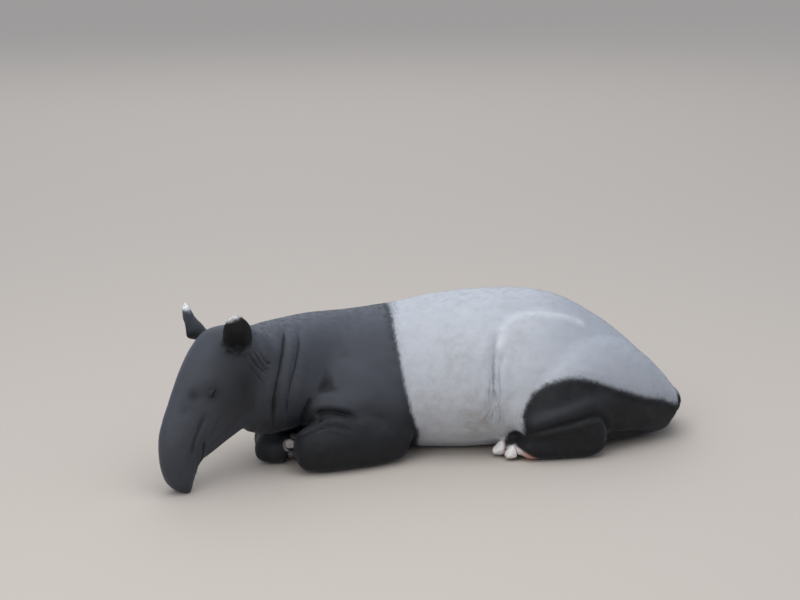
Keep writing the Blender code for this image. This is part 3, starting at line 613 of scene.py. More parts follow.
points = points_of(hide)
flat = points[:, (0, 2)]
mirror = np.stack((points[:, 0], np.abs(points[:, 1]), points[:, 2]), axis=1)
shoulder_x = np.interp(points[:, 2], *zip(*shoulder_border))
marking = points[:, 0] - shoulder_x
marking = np.minimum(marking, from_outline(flat, haunch_border))
marking = np.minimum(marking, from_line(mirror, hind_foot_line) - 0.056)
white = np.zeros(len(points))
for node, (root, axis, opening) in ears.items():
    tip, (off_tip, radius) = np.array(root + axis * ear_length), pale_tips[node]
    near_tip = radius - np.linalg.norm(points - tip - np.array(off_tip), axis=1)
    marking = np.where(near_tip > -0.03, np.maximum(marking, near_tip), marking)
    white = np.maximum(white, ramp(near_tip, -0.002, 0.006))
marking = np.clip(marking, -0.08, 0.08)

hooves = distance_to(points, [middle(n) for n in hoof_nodes])
bare = 1 - ramp(hooves, 0.020, 0.030)
bare *= np.where(points[:, 0] < 0, 0.0, 1.0)
sole = ramp(0.060 - 0.62 * (points[:, 0] - 0.205) - points[:, 2], -0.004, 0.005) * (points[:, 0] > 0.15)
bare = np.maximum(bare, sole * ramp(mirror[:, 1], 0.262, 0.272) * (1 - ramp(points[:, 0], 0.280, 0.290)))
raw = ramp(points[:, 0], 0.232, 0.262)
bare = np.maximum(bare, 0.8 * (1 - ramp(distance_to(points, [middle("hoof_fore_right_2")]), 0.018, 0.026)))
stain = sum(strength * near_to(points, [place], radius) for place, radius, strength in stain_places)
# Painted shade fills the nostril pits
pit = near_to(points, nostrils, 0.008)
normals = normals_of(hide)
ear_cup = np.zeros(len(points))
ear_share = np.zeros(len(points))
for root, axis, opening in ears.values():
    under_ear = (points - np.array(root)) @ np.array(axis)
    height = np.clip(under_ear, 0.0, ear_length)
    spine = np.array(root) + height[:, None] * np.array(axis)
    away = np.linalg.norm(points - spine, axis=1)
    ear_share = np.maximum(ear_share, (1 - ramp(away, 0.045, 0.055)) * ramp(height, 0.012, 0.030))
    inwards = ((spine + 0.022 * np.array(opening) - points) * normals).sum(1)
    reach = np.where(under_ear > 0.01, 0.055, 0.040)
    in_cup = ramp(inwards, 0.0, 0.006) * (away < reach) * ramp(under_ear, -0.014, -0.002)
    ear_cup = np.maximum(ear_cup, in_cup)
# Dust and painted sky sheen lighten the back of the neck, the shoulders, the forehead and the snout, and
# least the legs; the higher the hide, the lighter it is painted. Painted shade darkens the cheeks, round the
# eyes and the foot of the neck
in_front = 1 - ramp(points[:, 0], -0.12, -0.05)
dust = 0.30 + 0.70 * ramp(points[:, 2], 0.13, 0.30)
head_place = in_head(points)
cheek_shade = np.exp(-(((head_place[:, 0] - 0.11) / 0.11) ** 2 + ((head_place[:, 2] + 0.09) / 0.08) ** 2))
cheek_shade += 0.9 * near_to(points, eye_places, 0.028)
cheek_shade += 0.7 * near_to(points, both_cheeks(0.190, 0.056, 0.050), 0.026)
# Painted light from above: the face is lighter towards the crown
front_of_face = 0.62 + 0.20 * ramp(head_place[:, 2], -0.06, 0.06)
on_head = 1 - ramp(points[:, 0], -0.66, -0.58)
dust = dust * (1 - on_head) + (front_of_face - 0.50 * cheek_shade) * on_head
neck_shade = np.exp(-((points[:, 0] + 0.58) / 0.05) ** 2) * (points[:, 1] < 0)
dust = (dust - 0.25 * neck_shade) * in_front
dust = dust * (0.25 + 0.75 * ramp(from_line(points, fore_leg_line), 0.075, 0.13))
# Painted sheen: the tops of the neck, the shoulders and the head are lighter still
dust += 0.60 * ramp(points[:, 2], 0.38, 0.46) * in_front * (1 - on_head)
dust += 0.25 * ramp(head_place[:, 2], 0.02, 0.07) * on_head
# A painted highlight along the haunch ridge: whitened, and less darkened on the pale coat
ridge_highlight = np.exp(-(from_line(mirror, [(x, -y, z) for x, y, z in haunch_ridge]) / 0.014) ** 2)
white = np.maximum(white, 0.35 * ridge_highlight)
# A painted highlight in a band along the swell of the thigh
thigh_highlight = np.exp(-(from_line(mirror, thigh_swell) / 0.026) ** 2) * (points[:, 0] > 0)
dust += 0.32 * thigh_highlight
# On the pale coat the value instead darkens towards the rump, least along the ridge's painted highlight
dust = np.where(marking > 0, 0.75 * ramp(points[:, 0], 0.26, 0.50) * (1 - 0.8 * ridge_highlight), dust)
# Painted shade in the creases: the hide is darkened where it lies below its own surroundings
calm, ends = points, ends_of(hide)
for _ in range(24):
    calm = mean_around(calm, *ends)
fold = ramp(((calm - points) * normals).sum(1), 0.0009, 0.0036) * (ear_share < 0.3)
fold *= ramp(distance_to(points, eye_places), 0.020, 0.030)
fold *= np.where(marking > 0, 0.20, 1 - 0.65 * on_head)
dust = np.where(marking > 0, dust, 0.62 * dust * (1 - 0.8 * fold) * (1 - 0.45 * (ear_share > 0.3)))
dust = np.clip(dust, 0, 1)
worn = near_to(points, both_cheeks(0.192, 0.088, 0.0), 0.022)


def kept(thing, name, values):
    """Keeps a number or a vector on each point of the mesh."""
    values = np.asarray(values, np.float32)
    kind, key = ("FLOAT", "value") if values.ndim == 1 else ("FLOAT_VECTOR", "vector")
    attribute = thing.data.attributes.new(name, kind, "POINT")
    attribute.data.foreach_set(key, values.ravel())


# The lie of the fur: back and down over the body, up the face from the snout, and down the legs
head_share = 1 - ramp(points[:, 0], -0.68, -0.56)
fore_leg = 1 - ramp(from_line(points, fore_leg_line), 0.06, 0.11)
hind_leg = 1 - ramp(from_line(mirror, hind_foot_line), 0.045, 0.085)
lie = np.array((0.50, 0.0, -0.86)) + np.zeros_like(points)
for share, way in ((head_share, -to_snout * 0.9 + Vector((0.15, 0, -0.2))),
                   (fore_leg, (-0.9, 0.0, -0.4)), (hind_leg, (-0.95, 0.0, -0.2))):
    lie = lie * (1 - share)[:, None] + np.array(way) * share[:, None]
for root, axis, opening in ears.values():
    near = (np.linalg.norm(points - np.array(root + axis * 0.06), axis=1) < 0.075)[:, None]
    up_ear = np.array(axis + opening * 0.5) * ear_cup[:, None] + np.array(axis) * (1 - ear_cup)[:, None]
    lie = np.where(near & (ear_share > 0.3)[:, None], up_ear, lie)
lie[:, 2] *= ramp(points[:, 2], 0.02, 0.07)
lie -= normals * (lie * normals).sum(1)[:, None]
lie /= np.linalg.norm(lie, axis=1)[:, None] + 1e-9
for label, values in {
    "marking": marking, "bare": bare, "raw": raw, "white": white, "dust": dust, "fold": fold,
    "stain": np.clip(stain, 0, 1), "pit": np.clip(pit, 0, 1), "ear_cup": ear_cup, "worn": worn,
    "face": head_share, "snout": head_place[:, 0], "lie": lie,
}.items():
    kept(hide, label, values)

nodes_in_column, column_width, row_height = 6, 220, 190
soft_gloss = {"Specular IOR Level": 0.30, "Sheen Weight": 0.12, "Sheen Roughness": 0.40,
              "Sheen Tint": (0.74, 0.80, 0.94, 1)}


def group_of(name, inputs, outputs):
    """An empty shader group with a vector, numbers with their values, and outputs."""
    group = bpy.data.node_groups.new(name, "ShaderNodeTree")
    group.interface.new_socket("Vector", in_out="INPUT", socket_type="NodeSocketVector")
    for label, value in inputs.items():
        socket = group.interface.new_socket(label, in_out="INPUT", socket_type="NodeSocketFloat")
        socket.default_value = value
    for label, kind in outputs.items():
        group.interface.new_socket(label, in_out="OUTPUT", socket_type="NodeSocket" + kind)
    return group


def live(sockets, label):
    return next(s for s in sockets if s.enabled and s.name == label)


def fed(tree, made, inputs):
    """Links or sets a node's inputs, by their names or numbers."""
    for label, value in inputs.items():
        socket = live(made.inputs, label) if isinstance(label, str) else made.inputs[label]
        if isinstance(value, bpy.types.NodeSocket):
            tree.links.new(value, socket)
        else:
            socket.default_value = value


def node(tree, kind, inputs=None, **settings):
    """A node with its settings and inputs. Nodes stand in columns, in the order that they are made."""
    made = tree.nodes.new(kind)
    column, row = divmod(len(tree.nodes), nodes_in_column)
    made.location = (column_width * column, -row_height * row)
    for key, value in settings.items():
        setattr(made, key, value)
    fed(tree, made, inputs or {})
    return made


def math_node(tree, operation, *values, clamp=False):
    inputs = dict(enumerate(values))
    return node(tree, "ShaderNodeMath", inputs, operation=operation, use_clamp=clamp).outputs[0]


def mix_colour(tree, share, first, second):
    return node(tree, "ShaderNodeMix", {0: share, 6: first, 7: second}, data_type="RGBA").outputs[2]


def layered(tree, colour, *layers):
    """Lays colours over the first, each by its share."""
    for share, over in layers:
        colour = mix_colour(tree, share, colour, over)
    return colour


def smooth_range(tree, value, low, high, start=0.0, end=1.0):
    inputs = {"Value": value, "From Min": low, "From Max": high, "To Min": start, "To Max": end}
    return node(tree, "ShaderNodeMapRange", inputs, interpolation_type="SMOOTHSTEP").outputs["Result"]


def noise(tree, vector, scale, detail, roughness, distortion=0.0):
    return node(tree, "ShaderNodeTexNoise", {
        "Vector": vector, "Scale": scale, "Detail": detail, "Roughness": roughness, "Distortion": distortion,
    }).outputs["Fac"]


def stretched(tree, vector, scale, lean=0.0):
    inputs = {"Vector": vector, "Scale": scale, "Rotation": (0.0, math.radians(lean), 0.0)}
    return node(tree, "ShaderNodeMapping", inputs).outputs["Vector"]


def bumped(tree, height, strength, distance):
    inputs = {"Strength": strength, "Distance": distance, "Height": height}
    return node(tree, "ShaderNodeBump", inputs).outputs["Normal"]


def attribute(tree, name):
    return node(tree, "ShaderNodeAttribute", attribute_name=name).outputs["Fac"]


def material_tree(name):
    """A new material, with its nodes and its shader."""
    material = bpy.data.materials.new(name)
    material.use_nodes = True
    tree = material.node_tree
    return material, tree, tree.nodes["Principled BSDF"]


def place_on_object(tree):
    return node(tree, "ShaderNodeTexCoord").outputs["Object"]


# Short fur combed flat, as a height and a tone that vary in fine streaks along its lie
fur_streaks = group_of("fur_streaks", {"Face": 0.0}, {"Height": "Float", "Tone": "Float", "Edge": "Float"})
given = node(fur_streaks, "NodeGroupInput").outputs
body_lie = stretched(fur_streaks, given["Vector"], (1.0, 1.0, 0.16), 22)
head_lie = stretched(fur_streaks, given["Vector"], (1.0, 1.0, 0.18), -18)
fine, broad = (
    node(fur_streaks, "ShaderNodeMix", {
        0: given["Face"],
        2: noise(fur_streaks, body_lie, body_scale, detail, roughness),
        3: noise(fur_streaks, head_lie, head_scale, detail, roughness),
    }, data_type="FLOAT").outputs[0]
    for body_scale, head_scale, detail, roughness in ((520, 620, 2.0, 0.55), (130, 150, 3.0, 0.6))
)
grain = math_node(fur_streaks, "MULTIPLY_ADD", fine, 0.6, math_node(fur_streaks, "MULTIPLY", broad, 0.4))
node(fur_streaks, "NodeGroupOutput", {"Height": grain, "Tone": fine, "Edge": broad})

# The colours of the coat: black and pale either side of a furry border, with dust, painted sheen and shade,
# and brown stains
soot, dust_and_sheen_grey = (0.0062, 0.0064, 0.0074, 1), (0.0720, 0.0775, 0.0940, 1)
dry_earth = (0.040, 0.037, 0.034, 1)
pale_low, pale_high = (0.400, 0.415, 0.450, 1), (0.500, 0.510, 0.530, 1)
pale_dull, pale_brown = (0.310, 0.328, 0.370, 1), (0.33, 0.32, 0.31, 1)
stain_brown, tip_and_highlight_white = (0.255, 0.225, 0.195, 1), (0.780, 0.790, 0.800, 1)
pad_low, pad_high, raw_pink = (0.46, 0.38, 0.35, 1), (0.62, 0.57, 0.54, 1), (0.50, 0.235, 0.190, 1)
border_softness = 0.0085
shade_labels = ("Marking", "Stain", "Bare", "Raw", "Dust", "White")
coat_colours = group_of(
    "coat_colours",
    {**dict.fromkeys(shade_labels, 0.0), "Edge": 0.5, "Tone": 0.5},
    {"Color": "Color", "Pale": "Float"},
)
given = node(coat_colours, "NodeGroupInput").outputs
patches = noise(coat_colours, given["Vector"], 7, 4.0, 0.55)
mottle = noise(coat_colours, given["Vector"], 34, 4.0, 0.6)
specks = noise(coat_colours, given["Vector"], 160, 3.0, 0.6)
wander = math_node(coat_colours, "MULTIPLY_ADD", given["Edge"], 0.020, -0.010)
broken = math_node(coat_colours, "MULTIPLY_ADD", specks, 0.008, -0.004)
edge = math_node(coat_colours, "ADD", given["Marking"], math_node(coat_colours, "ADD", wander, broken))
pale_share = smooth_range(coat_colours, edge, -border_softness, border_softness)
dust_and_light_share = math_node(coat_colours, "MULTIPLY_ADD", patches, 0.30, -0.15)
dust_and_light_share = math_node(coat_colours, "ADD", given["Dust"], dust_and_light_share, clamp=True)
blotches = smooth_range(coat_colours, mottle, 0.30, 0.70, 0.15, 0.60)
stained = math_node(coat_colours, "MULTIPLY", given["Stain"], blotches)
earthy = smooth_range(coat_colours, mottle, 0.48, 0.78, 0, 0.22)
# Black goes towards a bluish grey with dust and painted sky sheen, and towards brown with dry earth
black = layered(coat_colours, soot, (dust_and_light_share, dust_and_sheen_grey), (earthy, dry_earth))
# Pale is darker towards the rump, whiter at the ear tips, and lighter along the haunch ridge as a painted
# highlight
pale = layered(
    coat_colours, pale_low,
    (patches, pale_high),
    (given["Dust"], pale_dull),
    (smooth_range(coat_colours, mottle, 0.42, 0.75, 0, 0.30), pale_brown),
    (stained, stain_brown),
    (given["White"], tip_and_highlight_white),
)
pink = layered(coat_colours, pad_low, (mottle, pad_high), (given["Raw"], raw_pink))
colour = layered(coat_colours, black, (pale_share, pale), (given["Bare"], pink))
shade = math_node(coat_colours, "MULTIPLY_ADD", given["Tone"], 0.36, 0.82)
tinted = node(coat_colours, "ShaderNodeVectorMath", {0: colour, "Scale": shade}, operation="SCALE").outputs[0]
node(coat_colours, "NodeGroupOutput", {"Color": tinted, "Pale": pale_share})


def coat_shades(tree, where, **extra):
    """The coat's colours in a material, from the numbers kept on the mesh."""
    inputs = {label: attribute(tree, label.lower()) for label in shade_labels}
    return node(tree, "ShaderNodeGroup", {"Vector": where, **inputs, **extra}, node_tree=coat_colours).outputs


def cup_share(tree, shades, strength):
    """How much the dark of the ears' cups shows, which is nothing on their pale tips."""
    dark = math_node(tree, "SUBTRACT", 1.0, shades["Pale"])
    cup = math_node(tree, "MULTIPLY", attribute(tree, "ear_cup"), strength)
    return math_node(tree, "MULTIPLY", cup, dark)


hide_material, tree, skin = material_tree("hide")
where = place_on_object(tree)
streak_inputs = {"Vector": where, "Face": attribute(tree, "face")}
streaks = node(tree, "ShaderNodeGroup", streak_inputs, node_tree=fur_streaks).outputs
shades = coat_shades(tree, where, Edge=streaks["Edge"], Tone=streaks["Tone"])
fine_lines = smooth_range(tree, noise(tree, where, 420, 3.0, 0.6, 0.8), 0.50, 0.62)
worn_lines = math_node(tree, "MULTIPLY", attribute(tree, "worn"), fine_lines)
# Over the coat's colours: painted shade in the nostrils and the creases, the ears' dark cups and worn lines
# on the cheeks
colour = layered(
    tree, shades["Color"],
    (attribute(tree, "pit"), (0.004, 0.004, 0.004, 1)),
    (cup_share(tree, shades, 0.85), (0.007, 0.006, 0.006, 1)),
    (math_node(tree, "MULTIPLY", worn_lines, 0.45), (0.090, 0.085, 0.080, 1)),
    (math_node(tree, "MULTIPLY", attribute(tree, "fold"), 0.7), (0.006, 0.006, 0.007, 1)),
)
leather = noise(tree, where, 240, 3.0, 0.6)
wrinkles = noise(tree, stretched(tree, where, (1.0, 1.0, 0.30)), 70, 4.0, 0.55, 0.6)
relief = math_node(tree, "MULTIPLY_ADD", leather, 0.30, math_node(tree, "MULTIPLY", wrinkles, 0.55))
relief = math_node(tree, "MULTIPLY_ADD", streaks["Height"], 0.8, relief)
# Rings of fine wrinkles cross the snout towards its tip
along_snout = attribute(tree, "snout")
waves = math_node(tree, "MULTIPLY_ADD", wrinkles, 9.0, math_node(tree, "MULTIPLY", along_snout, 640.0))
ring_share = smooth_range(tree, along_snout, 0.27, 0.40)
rings = math_node(tree, "MULTIPLY", math_node(tree, "SINE", waves), ring_share)
relief = math_node(tree, "MULTIPLY_ADD", rings, 0.22, relief)
fed(tree, skin, {
    "Base Color": colour,
    "Roughness": smooth_range(tree, streaks["Tone"], 0.2, 0.8, 0.56, 0.70),
    "Normal": bumped(tree, relief, 0.42, 0.0016),
    **soft_gloss,
})


def dressed(piece, material):
    """Gives the piece its one material and smooth shading."""
    piece.data.materials.clear()
    piece.data.materials.append(material)
    piece.data.shade_smooth()


dressed(hide, hide_material)
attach(hide, "root")
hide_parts(*flesh_nodes, *ear_nodes)


# The coat: hair about a centimetre long that lies flat all over the hide, in small tapered tufts.
# It is shortest on the face and feet, and longest at the rims of the ears and the edges of the
# markings, where black hair lies over pale.
tuft_hairs = 7
hair_length, hair_width = 0.0095, 0.00027
patch_size = 0.003


def hair_tuft(name, spread, lift, seed):
    """A few straight tapered hairs from one root. They lie along X with their flat sides up."""
    draw = np.random.default_rng(seed)
    shape = bmesh.new()
    patch = shape.loops.layers.uv.new("patch")
    for k in range(tuft_hairs):
        root = Vector((draw.uniform(-spread, spread), draw.uniform(-spread, spread), -0.0006))
        turn = draw.normal(0, 0.20)
        rise = math.radians(draw.uniform(*lift))
        ahead = Vector((math.cos(turn) * math.cos(rise), math.sin(turn) * math.cos(rise), math.sin(rise)))
        side = ahead.cross(Vector((0, 0, 1))).normalized()
        over = side.cross(ahead)
        size = hair_length * draw.uniform(0.70, 1.15)
        wide = hair_width * draw.uniform(0.8, 1.2)
        ring = [shape.verts.new(root + side * wide * math.cos(a) + over * wide * math.sin(a))
                for a in (math.radians(30), math.radians(150), math.radians(270))]
        tip = shape.verts.new(root + ahead * size)
        faces = [shape.faces.new((ring[i], ring[(i + 1) % 3], tip)) for i in range(3)]
        faces.append(shape.faces.new(ring[::-1]))
        low, high = k / tuft_hairs, (k + 0.8) / tuft_hairs
        for face in faces:
            for loop, height in zip(face.loops, (low, high, (low + high) / 2)):
                loop[patch].uv = (0.95 if loop.vert is tip else 0.05, height)
    bmesh.ops.recalc_face_normals(shape, faces=shape.faces)
    return built(name, shape)


# One tree of nodes sows tufts on a stretch of hide, turns them along its lie and makes them real mesh
coat = bpy.data.node_groups.new("coat", "GeometryNodeTree")
for label, kind in (("Geometry", "Geometry"), ("Tuft", "Object"), ("Density", "Float"), ("Seed", "Int"),
                    ("Patch", "Float"), ("Material", "Material")):
    coat.interface.new_socket(label, in_out="INPUT", socket_type="NodeSocket" + kind)
coat.interface.new_socket("Geometry", in_out="OUTPUT", socket_type="NodeSocketGeometry")
given = node(coat, "NodeGroupInput").outputs


def named(label, kind="FLOAT_VECTOR"):
    made = node(coat, "GeometryNodeInputNamedAttribute", {"Name": label}, data_type=kind)
    return live(made.outputs, "Attribute")


def stored(geometry, label, kind, domain, value):
    inputs = {"Geometry": geometry, "Name": label, "Value": value}
    made = node(coat, "GeometryNodeStoreNamedAttribute", inputs, data_type=kind, domain=domain)
    return made.outputs["Geometry"]


def drawn(low, high, seed):
    inputs = {"Min": low, "Max": high, "Seed": seed}
    made = node(coat, "FunctionNodeRandomValue", inputs, data_type="FLOAT")
    return live(made.outputs, "Value")


sow = node(coat, "GeometryNodeDistributePointsOnFaces",
           {"Mesh": given["Geometry"], "Density": given["Density"], "Seed": given["Seed"]},
           distribute_method="RANDOM").outputs
roots = stored(sow["Points"], "root_uv", "FLOAT_VECTOR", "POINT", named("skin_uv"))
roots = stored(roots, "tone", "FLOAT", "POINT", drawn(0.0, 1.0, 5))
upright = node(coat, "FunctionNodeAlignRotationToVector", {"Vector": sow["Normal"]}, axis="Z")
combed = node(coat, "FunctionNodeAlignRotationToVector",
              {"Rotation": upright.outputs["Rotation"], "Vector": named("lie")}, axis="X", pivot_axis="Z")
swing = node(coat, "ShaderNodeCombineXYZ", {"Z": drawn(-0.30, 0.30, 11)})
as_turn = node(coat, "FunctionNodeEulerToRotation", {0: swing.outputs[0]})
swung = node(coat, "FunctionNodeRotateRotation",
             {"Rotation": combed.outputs["Rotation"], "Rotate By": as_turn.outputs[0]},
             rotation_space="LOCAL")
fetched = node(coat, "GeometryNodeObjectInfo", {"Object": given["Tuft"]})
set_out = node(coat, "GeometryNodeInstanceOnPoints", {
    "Points": roots,
    "Instance": fetched.outputs["Geometry"],
    "Rotation": swung.outputs["Rotation"],
    "Scale": math_node(coat, "MULTIPLY", named("fur", "FLOAT"), drawn(0.75, 1.20, 17)),
})
real = node(coat, "GeometryNodeRealizeInstances", {"Geometry": set_out.outputs["Instances"]})
shrunk = node(coat, "ShaderNodeVectorMath", {0: named("patch"), "Scale": given["Patch"]}, operation="SCALE")
placed = node(coat, "ShaderNodeVectorMath", {0: named("root_uv"), 1: shrunk.outputs[0]}, operation="ADD")
mapped = stored(real.outputs["Geometry"], "OFBake", "FLOAT2", "CORNER", placed.outputs[0])
# Only what the hair's material reads is left on it
for label in ("patch", "root_uv", "skin_uv", "lie", "snout", "face", "fur", "pit"):
    dropped = node(coat, "GeometryNodeRemoveAttribute", {"Geometry": mapped, "Name": label})
    mapped = dropped.outputs["Geometry"]
coloured = node(coat, "GeometryNodeSetMaterial", {"Geometry": mapped, "Material": given["Material"]})
node(coat, "NodeGroupOutput", {"Geometry": coloured.outputs["Geometry"]})

fur_material, tree, hair = material_tree("fur")
shades = coat_shades(tree, place_on_object(tree), Tone=attribute(tree, "tone"))
fur_colour = mix_colour(tree, cup_share(tree, shades, 0.7), shades["Color"], (0.012, 0.011, 0.011, 1))
# The hair is painted a little lighter than the skin, painted light that makes up for the shade the hairs cast
# at their own roots
lighter = node(tree, "ShaderNodeVectorMath", {0: fur_colour, "Scale": 1.12}, operation="SCALE")
fed(tree, hair, {"Base Color": lighter.outputs[0], "Roughness": 0.62, **soft_gloss})

for thing in bpy.context.view_layer.objects:
    thing.select_set(False)
hide.data.uv_layers.new(name="skin_uv")
hide.data.uv_layers.active = hide.data.uv_layers["skin_uv"]
hide.select_set(True)
bpy.context.view_layer.objects.active = hide
bpy.ops.object.mode_set(mode="EDIT")
bpy.ops.mesh.select_all(action="SELECT")
bpy.ops.uv.smart_project(angle_limit=1.15, island_margin=0.002)
bpy.ops.object.mode_set(mode="OBJECT")

# How long the hair is: none on lids, pads and the soles, least on the face and feet
points = points_of(hide)
feet = distance_to(points, [middle(n) for n in hoof_nodes])
fur = 1.0 - 0.55 * head_share
fur = np.minimum(fur, 0.45 + 0.55 * ramp(feet, 0.03, 0.12))
fur = np.minimum(fur, 0.30 + 0.70 * ramp(distance_to(points, eye_places), 0.024, 0.060))
edge_of_marking = np.exp(-(marking / 0.014) ** 2) * (points[:, 0] > 0)
fur += 0.15 * edge_of_marking
fur = np.where(ear_share > 0.3, 0.34 + 0.36 * ear_cup + 0.36 * ramp(marking, -0.004, 0.004), fur)
kept(hide, "fur", fur)
bald = (bare > 0.5) | (pit > 0.2) | (distance_to(points, eye_places) < 0.0205) | (points[:, 2] < 0.016)

# Each face is dealt to a stretch of the coat by its first corner
corners = numbers(hide.data.loops, "vertex_index", kind=np.int32)
first = corners[numbers(hide.data.polygons, "loop_start", kind=np.int32)]
areas = numbers(hide.data.polygons, "area")
at = points[first]
pale = marking[first] >= 0
on_ear = ear_share[first] > 0.3
on_face = (head_share[first] > 0.5) & ~on_ear
left = at[:, 1] < 0
left_cheek = in_head(at)[:, 1] > 0
flank = ~on_ear & ~on_face
near_edge = (np.abs(marking[first]) < 0.022) & flank & (at[:, 0] > -0.2)
tuft = hair_tuft("tuft", 0.0085, (4, 10), 3)
long_tuft = hair_tuft("long_tuft", 0.0045, (5, 17), 4)
stretches = (
    ("coat_face", on_face & left_cheek, tuft, 6500, "black_hide"),
    ("coat_face_right", on_face & ~left_cheek, tuft, 3500, "black_hide"),
    ("coat_neck", flank & (at[:, 0] < -0.33), tuft, 6500, "black_hide"),
    ("coat_shoulders", flank & (at[:, 0] >= -0.33) & ~pale & (at[:, 0] < 0.0), tuft, 6500, "black_hide"),
    ("coat_saddle_left", flank & left & pale & (at[:, 0] < 0.30), tuft, 7000, "pale_hide"),
    ("coat_saddle_right", flank & ~left & pale & (at[:, 0] < 0.30), tuft, 4500, "pale_hide"),
    ("coat_rump", flank & pale & (at[:, 0] >= 0.30), tuft, 6500, "pale_hide"),
    ("coat_legs", flank & ~pale & (at[:, 0] > 0.0), tuft, 5500, "black_hide"),
    ("coat_edges", near_edge, long_tuft, 4500, "black_hide"),
    ("coat_ears", on_ear, long_tuft, 2000, "ear_skin"),
)
for number, (name, chosen, bunch, count, slot) in enumerate(stretches):
    chosen = chosen & ~bald[first]
    shape = bmesh.new()
    shape.from_mesh(hide.data)
    shape.faces.ensure_lookup_table()
    bmesh.ops.delete(shape, geom=[shape.faces[i] for i in np.nonzero(~chosen)[0]], context="FACES")
    patch_of_hide = built(name, shape)
    sowing = patch_of_hide.modifiers.new("coat", "NODES")
    sowing.node_group = coat
    values = {"Tuft": bunch, "Density": count / float(areas[chosen].sum()), "Seed": 20 + number,
              "Patch": patch_size, "Material": fur_material}
    for socket in coat.interface.items_tree:
        if socket.in_out == "INPUT" and socket.name in values:
            sowing[socket.identifier] = values[socket.name]
    applied(patch_of_hide)
    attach(patch_of_hide, "root")
for bunch in (tuft, long_tuft):
    bpy.data.objects.remove(bunch)


# Lashes on the upper lids and a few stiff whiskers on the lips and chin: single dark bristles.
graph = bpy.context.evaluated_depsgraph_get()
skin_tree = BVHTree.FromObject(hide, graph)
bristle_draw = np.random.default_rng(31)
lash_count, lash_width, lash_span = 22, 0.00020, 0.023
whisker_count, whisker_width = 44, 0.00018
bristle_sunk = 0.0010
shape = bmesh.new()
patch = shape.loops.layers.uv.new("OFBake")


def bristle(root, ahead, length, width, sag, skin_face):
    """One tapered hair of four lengths that bends under its own weight."""
    start = hide.data.uv_layers["skin_uv"].uv[hide.data.polygons[skin_face].loop_start].vector
    ahead = ahead.normalized()
    side = ahead.cross(Vector((0.3, 0.2, 1.0))).normalized()
    over = side.cross(ahead)
    rings = []
    for k in range(4):
        t = k / 4
        place = root + ahead * (length * t) - Vector((0, 0, sag * t * t))
        wide = width * (1 - 0.75 * t)
        rings.append([shape.verts.new(place + side * wide * math.cos(a) + over * wide * math.sin(a))
                      for a in (0.0, 2.1, 4.2)])
    tip = shape.verts.new(root + ahead * length - Vector((0, 0, sag)))
    faces = [shape.faces.new(rings[0][::-1])]
    for low, high in zip(rings, rings[1:]):
        faces += [shape.faces.new((low[i], low[(i + 1) % 3], high[(i + 1) % 3], high[i])) for i in range(3)]
    faces += [shape.faces.new((rings[-1][i], rings[-1][(i + 1) % 3], tip)) for i in range(3)]
    for made in faces:
        for k, loop in enumerate(made.loops):
            loop[patch].uv = start + patch_size * Vector((k % 2, k // 2))


for centre, turn in eye_frames.values():
    outward, level, over = (Vector(row) for row in turn)
    for k in range(lash_count):
        b = -lash_span / 2 + lash_span * (k + bristle_draw.uniform(-0.3, 0.3)) / (lash_count - 1)
        c = upper_lid * (1 - (b / eye_half) ** 2) + 0.0014
        spot = Vector(centre) + outward * 0.0190 + level * b + over * c
        root, normal, found, far = skin_tree.find_nearest(spot)
        ahead = outward - over * bristle_draw.uniform(0.1, 0.5)
        ahead += level * (b * 30 + bristle_draw.uniform(-0.1, 0.1))
        length = bristle_draw.uniform(0.008, 0.013)
        bristle(root - outward * bristle_sunk, ahead, length, lash_width, 0.002, found)
for k in range(whisker_count):
    side = 1 if k % 2 else -1
    s, cheek = bristle_draw.uniform(0.33, 0.45), side * bristle_draw.uniform(0.030, 0.055)
    spot = from_head(s, cheek, bristle_draw.uniform(-0.11, -0.05))
    root, normal, found, far = skin_tree.find_nearest(spot)
    ahead = normal + to_snout * bristle_draw.uniform(0.1, 0.7)
    if root.z > 0.030:
        length = bristle_draw.uniform(0.008, 0.020)
        bristle(root - normal * bristle_sunk, ahead, length, whisker_width, 0.004, found)
bmesh.ops.recalc_face_normals(shape, faces=shape.faces)
bristles = built("bristles", shape)
bristle_material, tree, horn = material_tree("bristle")
fed(tree, horn, {"Base Color": (0.012, 0.011, 0.011, 1), "Roughness": 0.45})
bristles.data.materials.append(bristle_material)
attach(bristles, "root")


# The eyes: dark brown balls with a clear bulge in front, set behind the lids.
clear_bulge = 0.0012
eye_material, tree, wet = material_tree("eye")
clouds = noise(tree, place_on_object(tree), 260, 3.0, 0.6)
iris = mix_colour(tree, clouds, (0.004, 0.003, 0.003, 1), (0.014, 0.008, 0.005, 1))
fed(tree, wet, {"Base Color": iris, "Roughness": 0.10, "Specular IOR Level": 0.22})
for name, (centre, turn) in eye_frames.items():
    shape = bmesh.new()
    bmesh.ops.create_uvsphere(shape, u_segments=48, v_segments=32, radius=eye_radius)
    outward = Vector(turn[0])
    for v in shape.verts:
        facing = max(0.0, v.co.normalized().dot(outward))
        v.co += outward * clear_bulge * max(0.0, (facing - 0.80) / 0.20) ** 2
        v.co += Vector(centre)
    ball = built("ball_" + name, shape)
    dressed(ball, eye_material)
    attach(ball, "root")
    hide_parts(name)


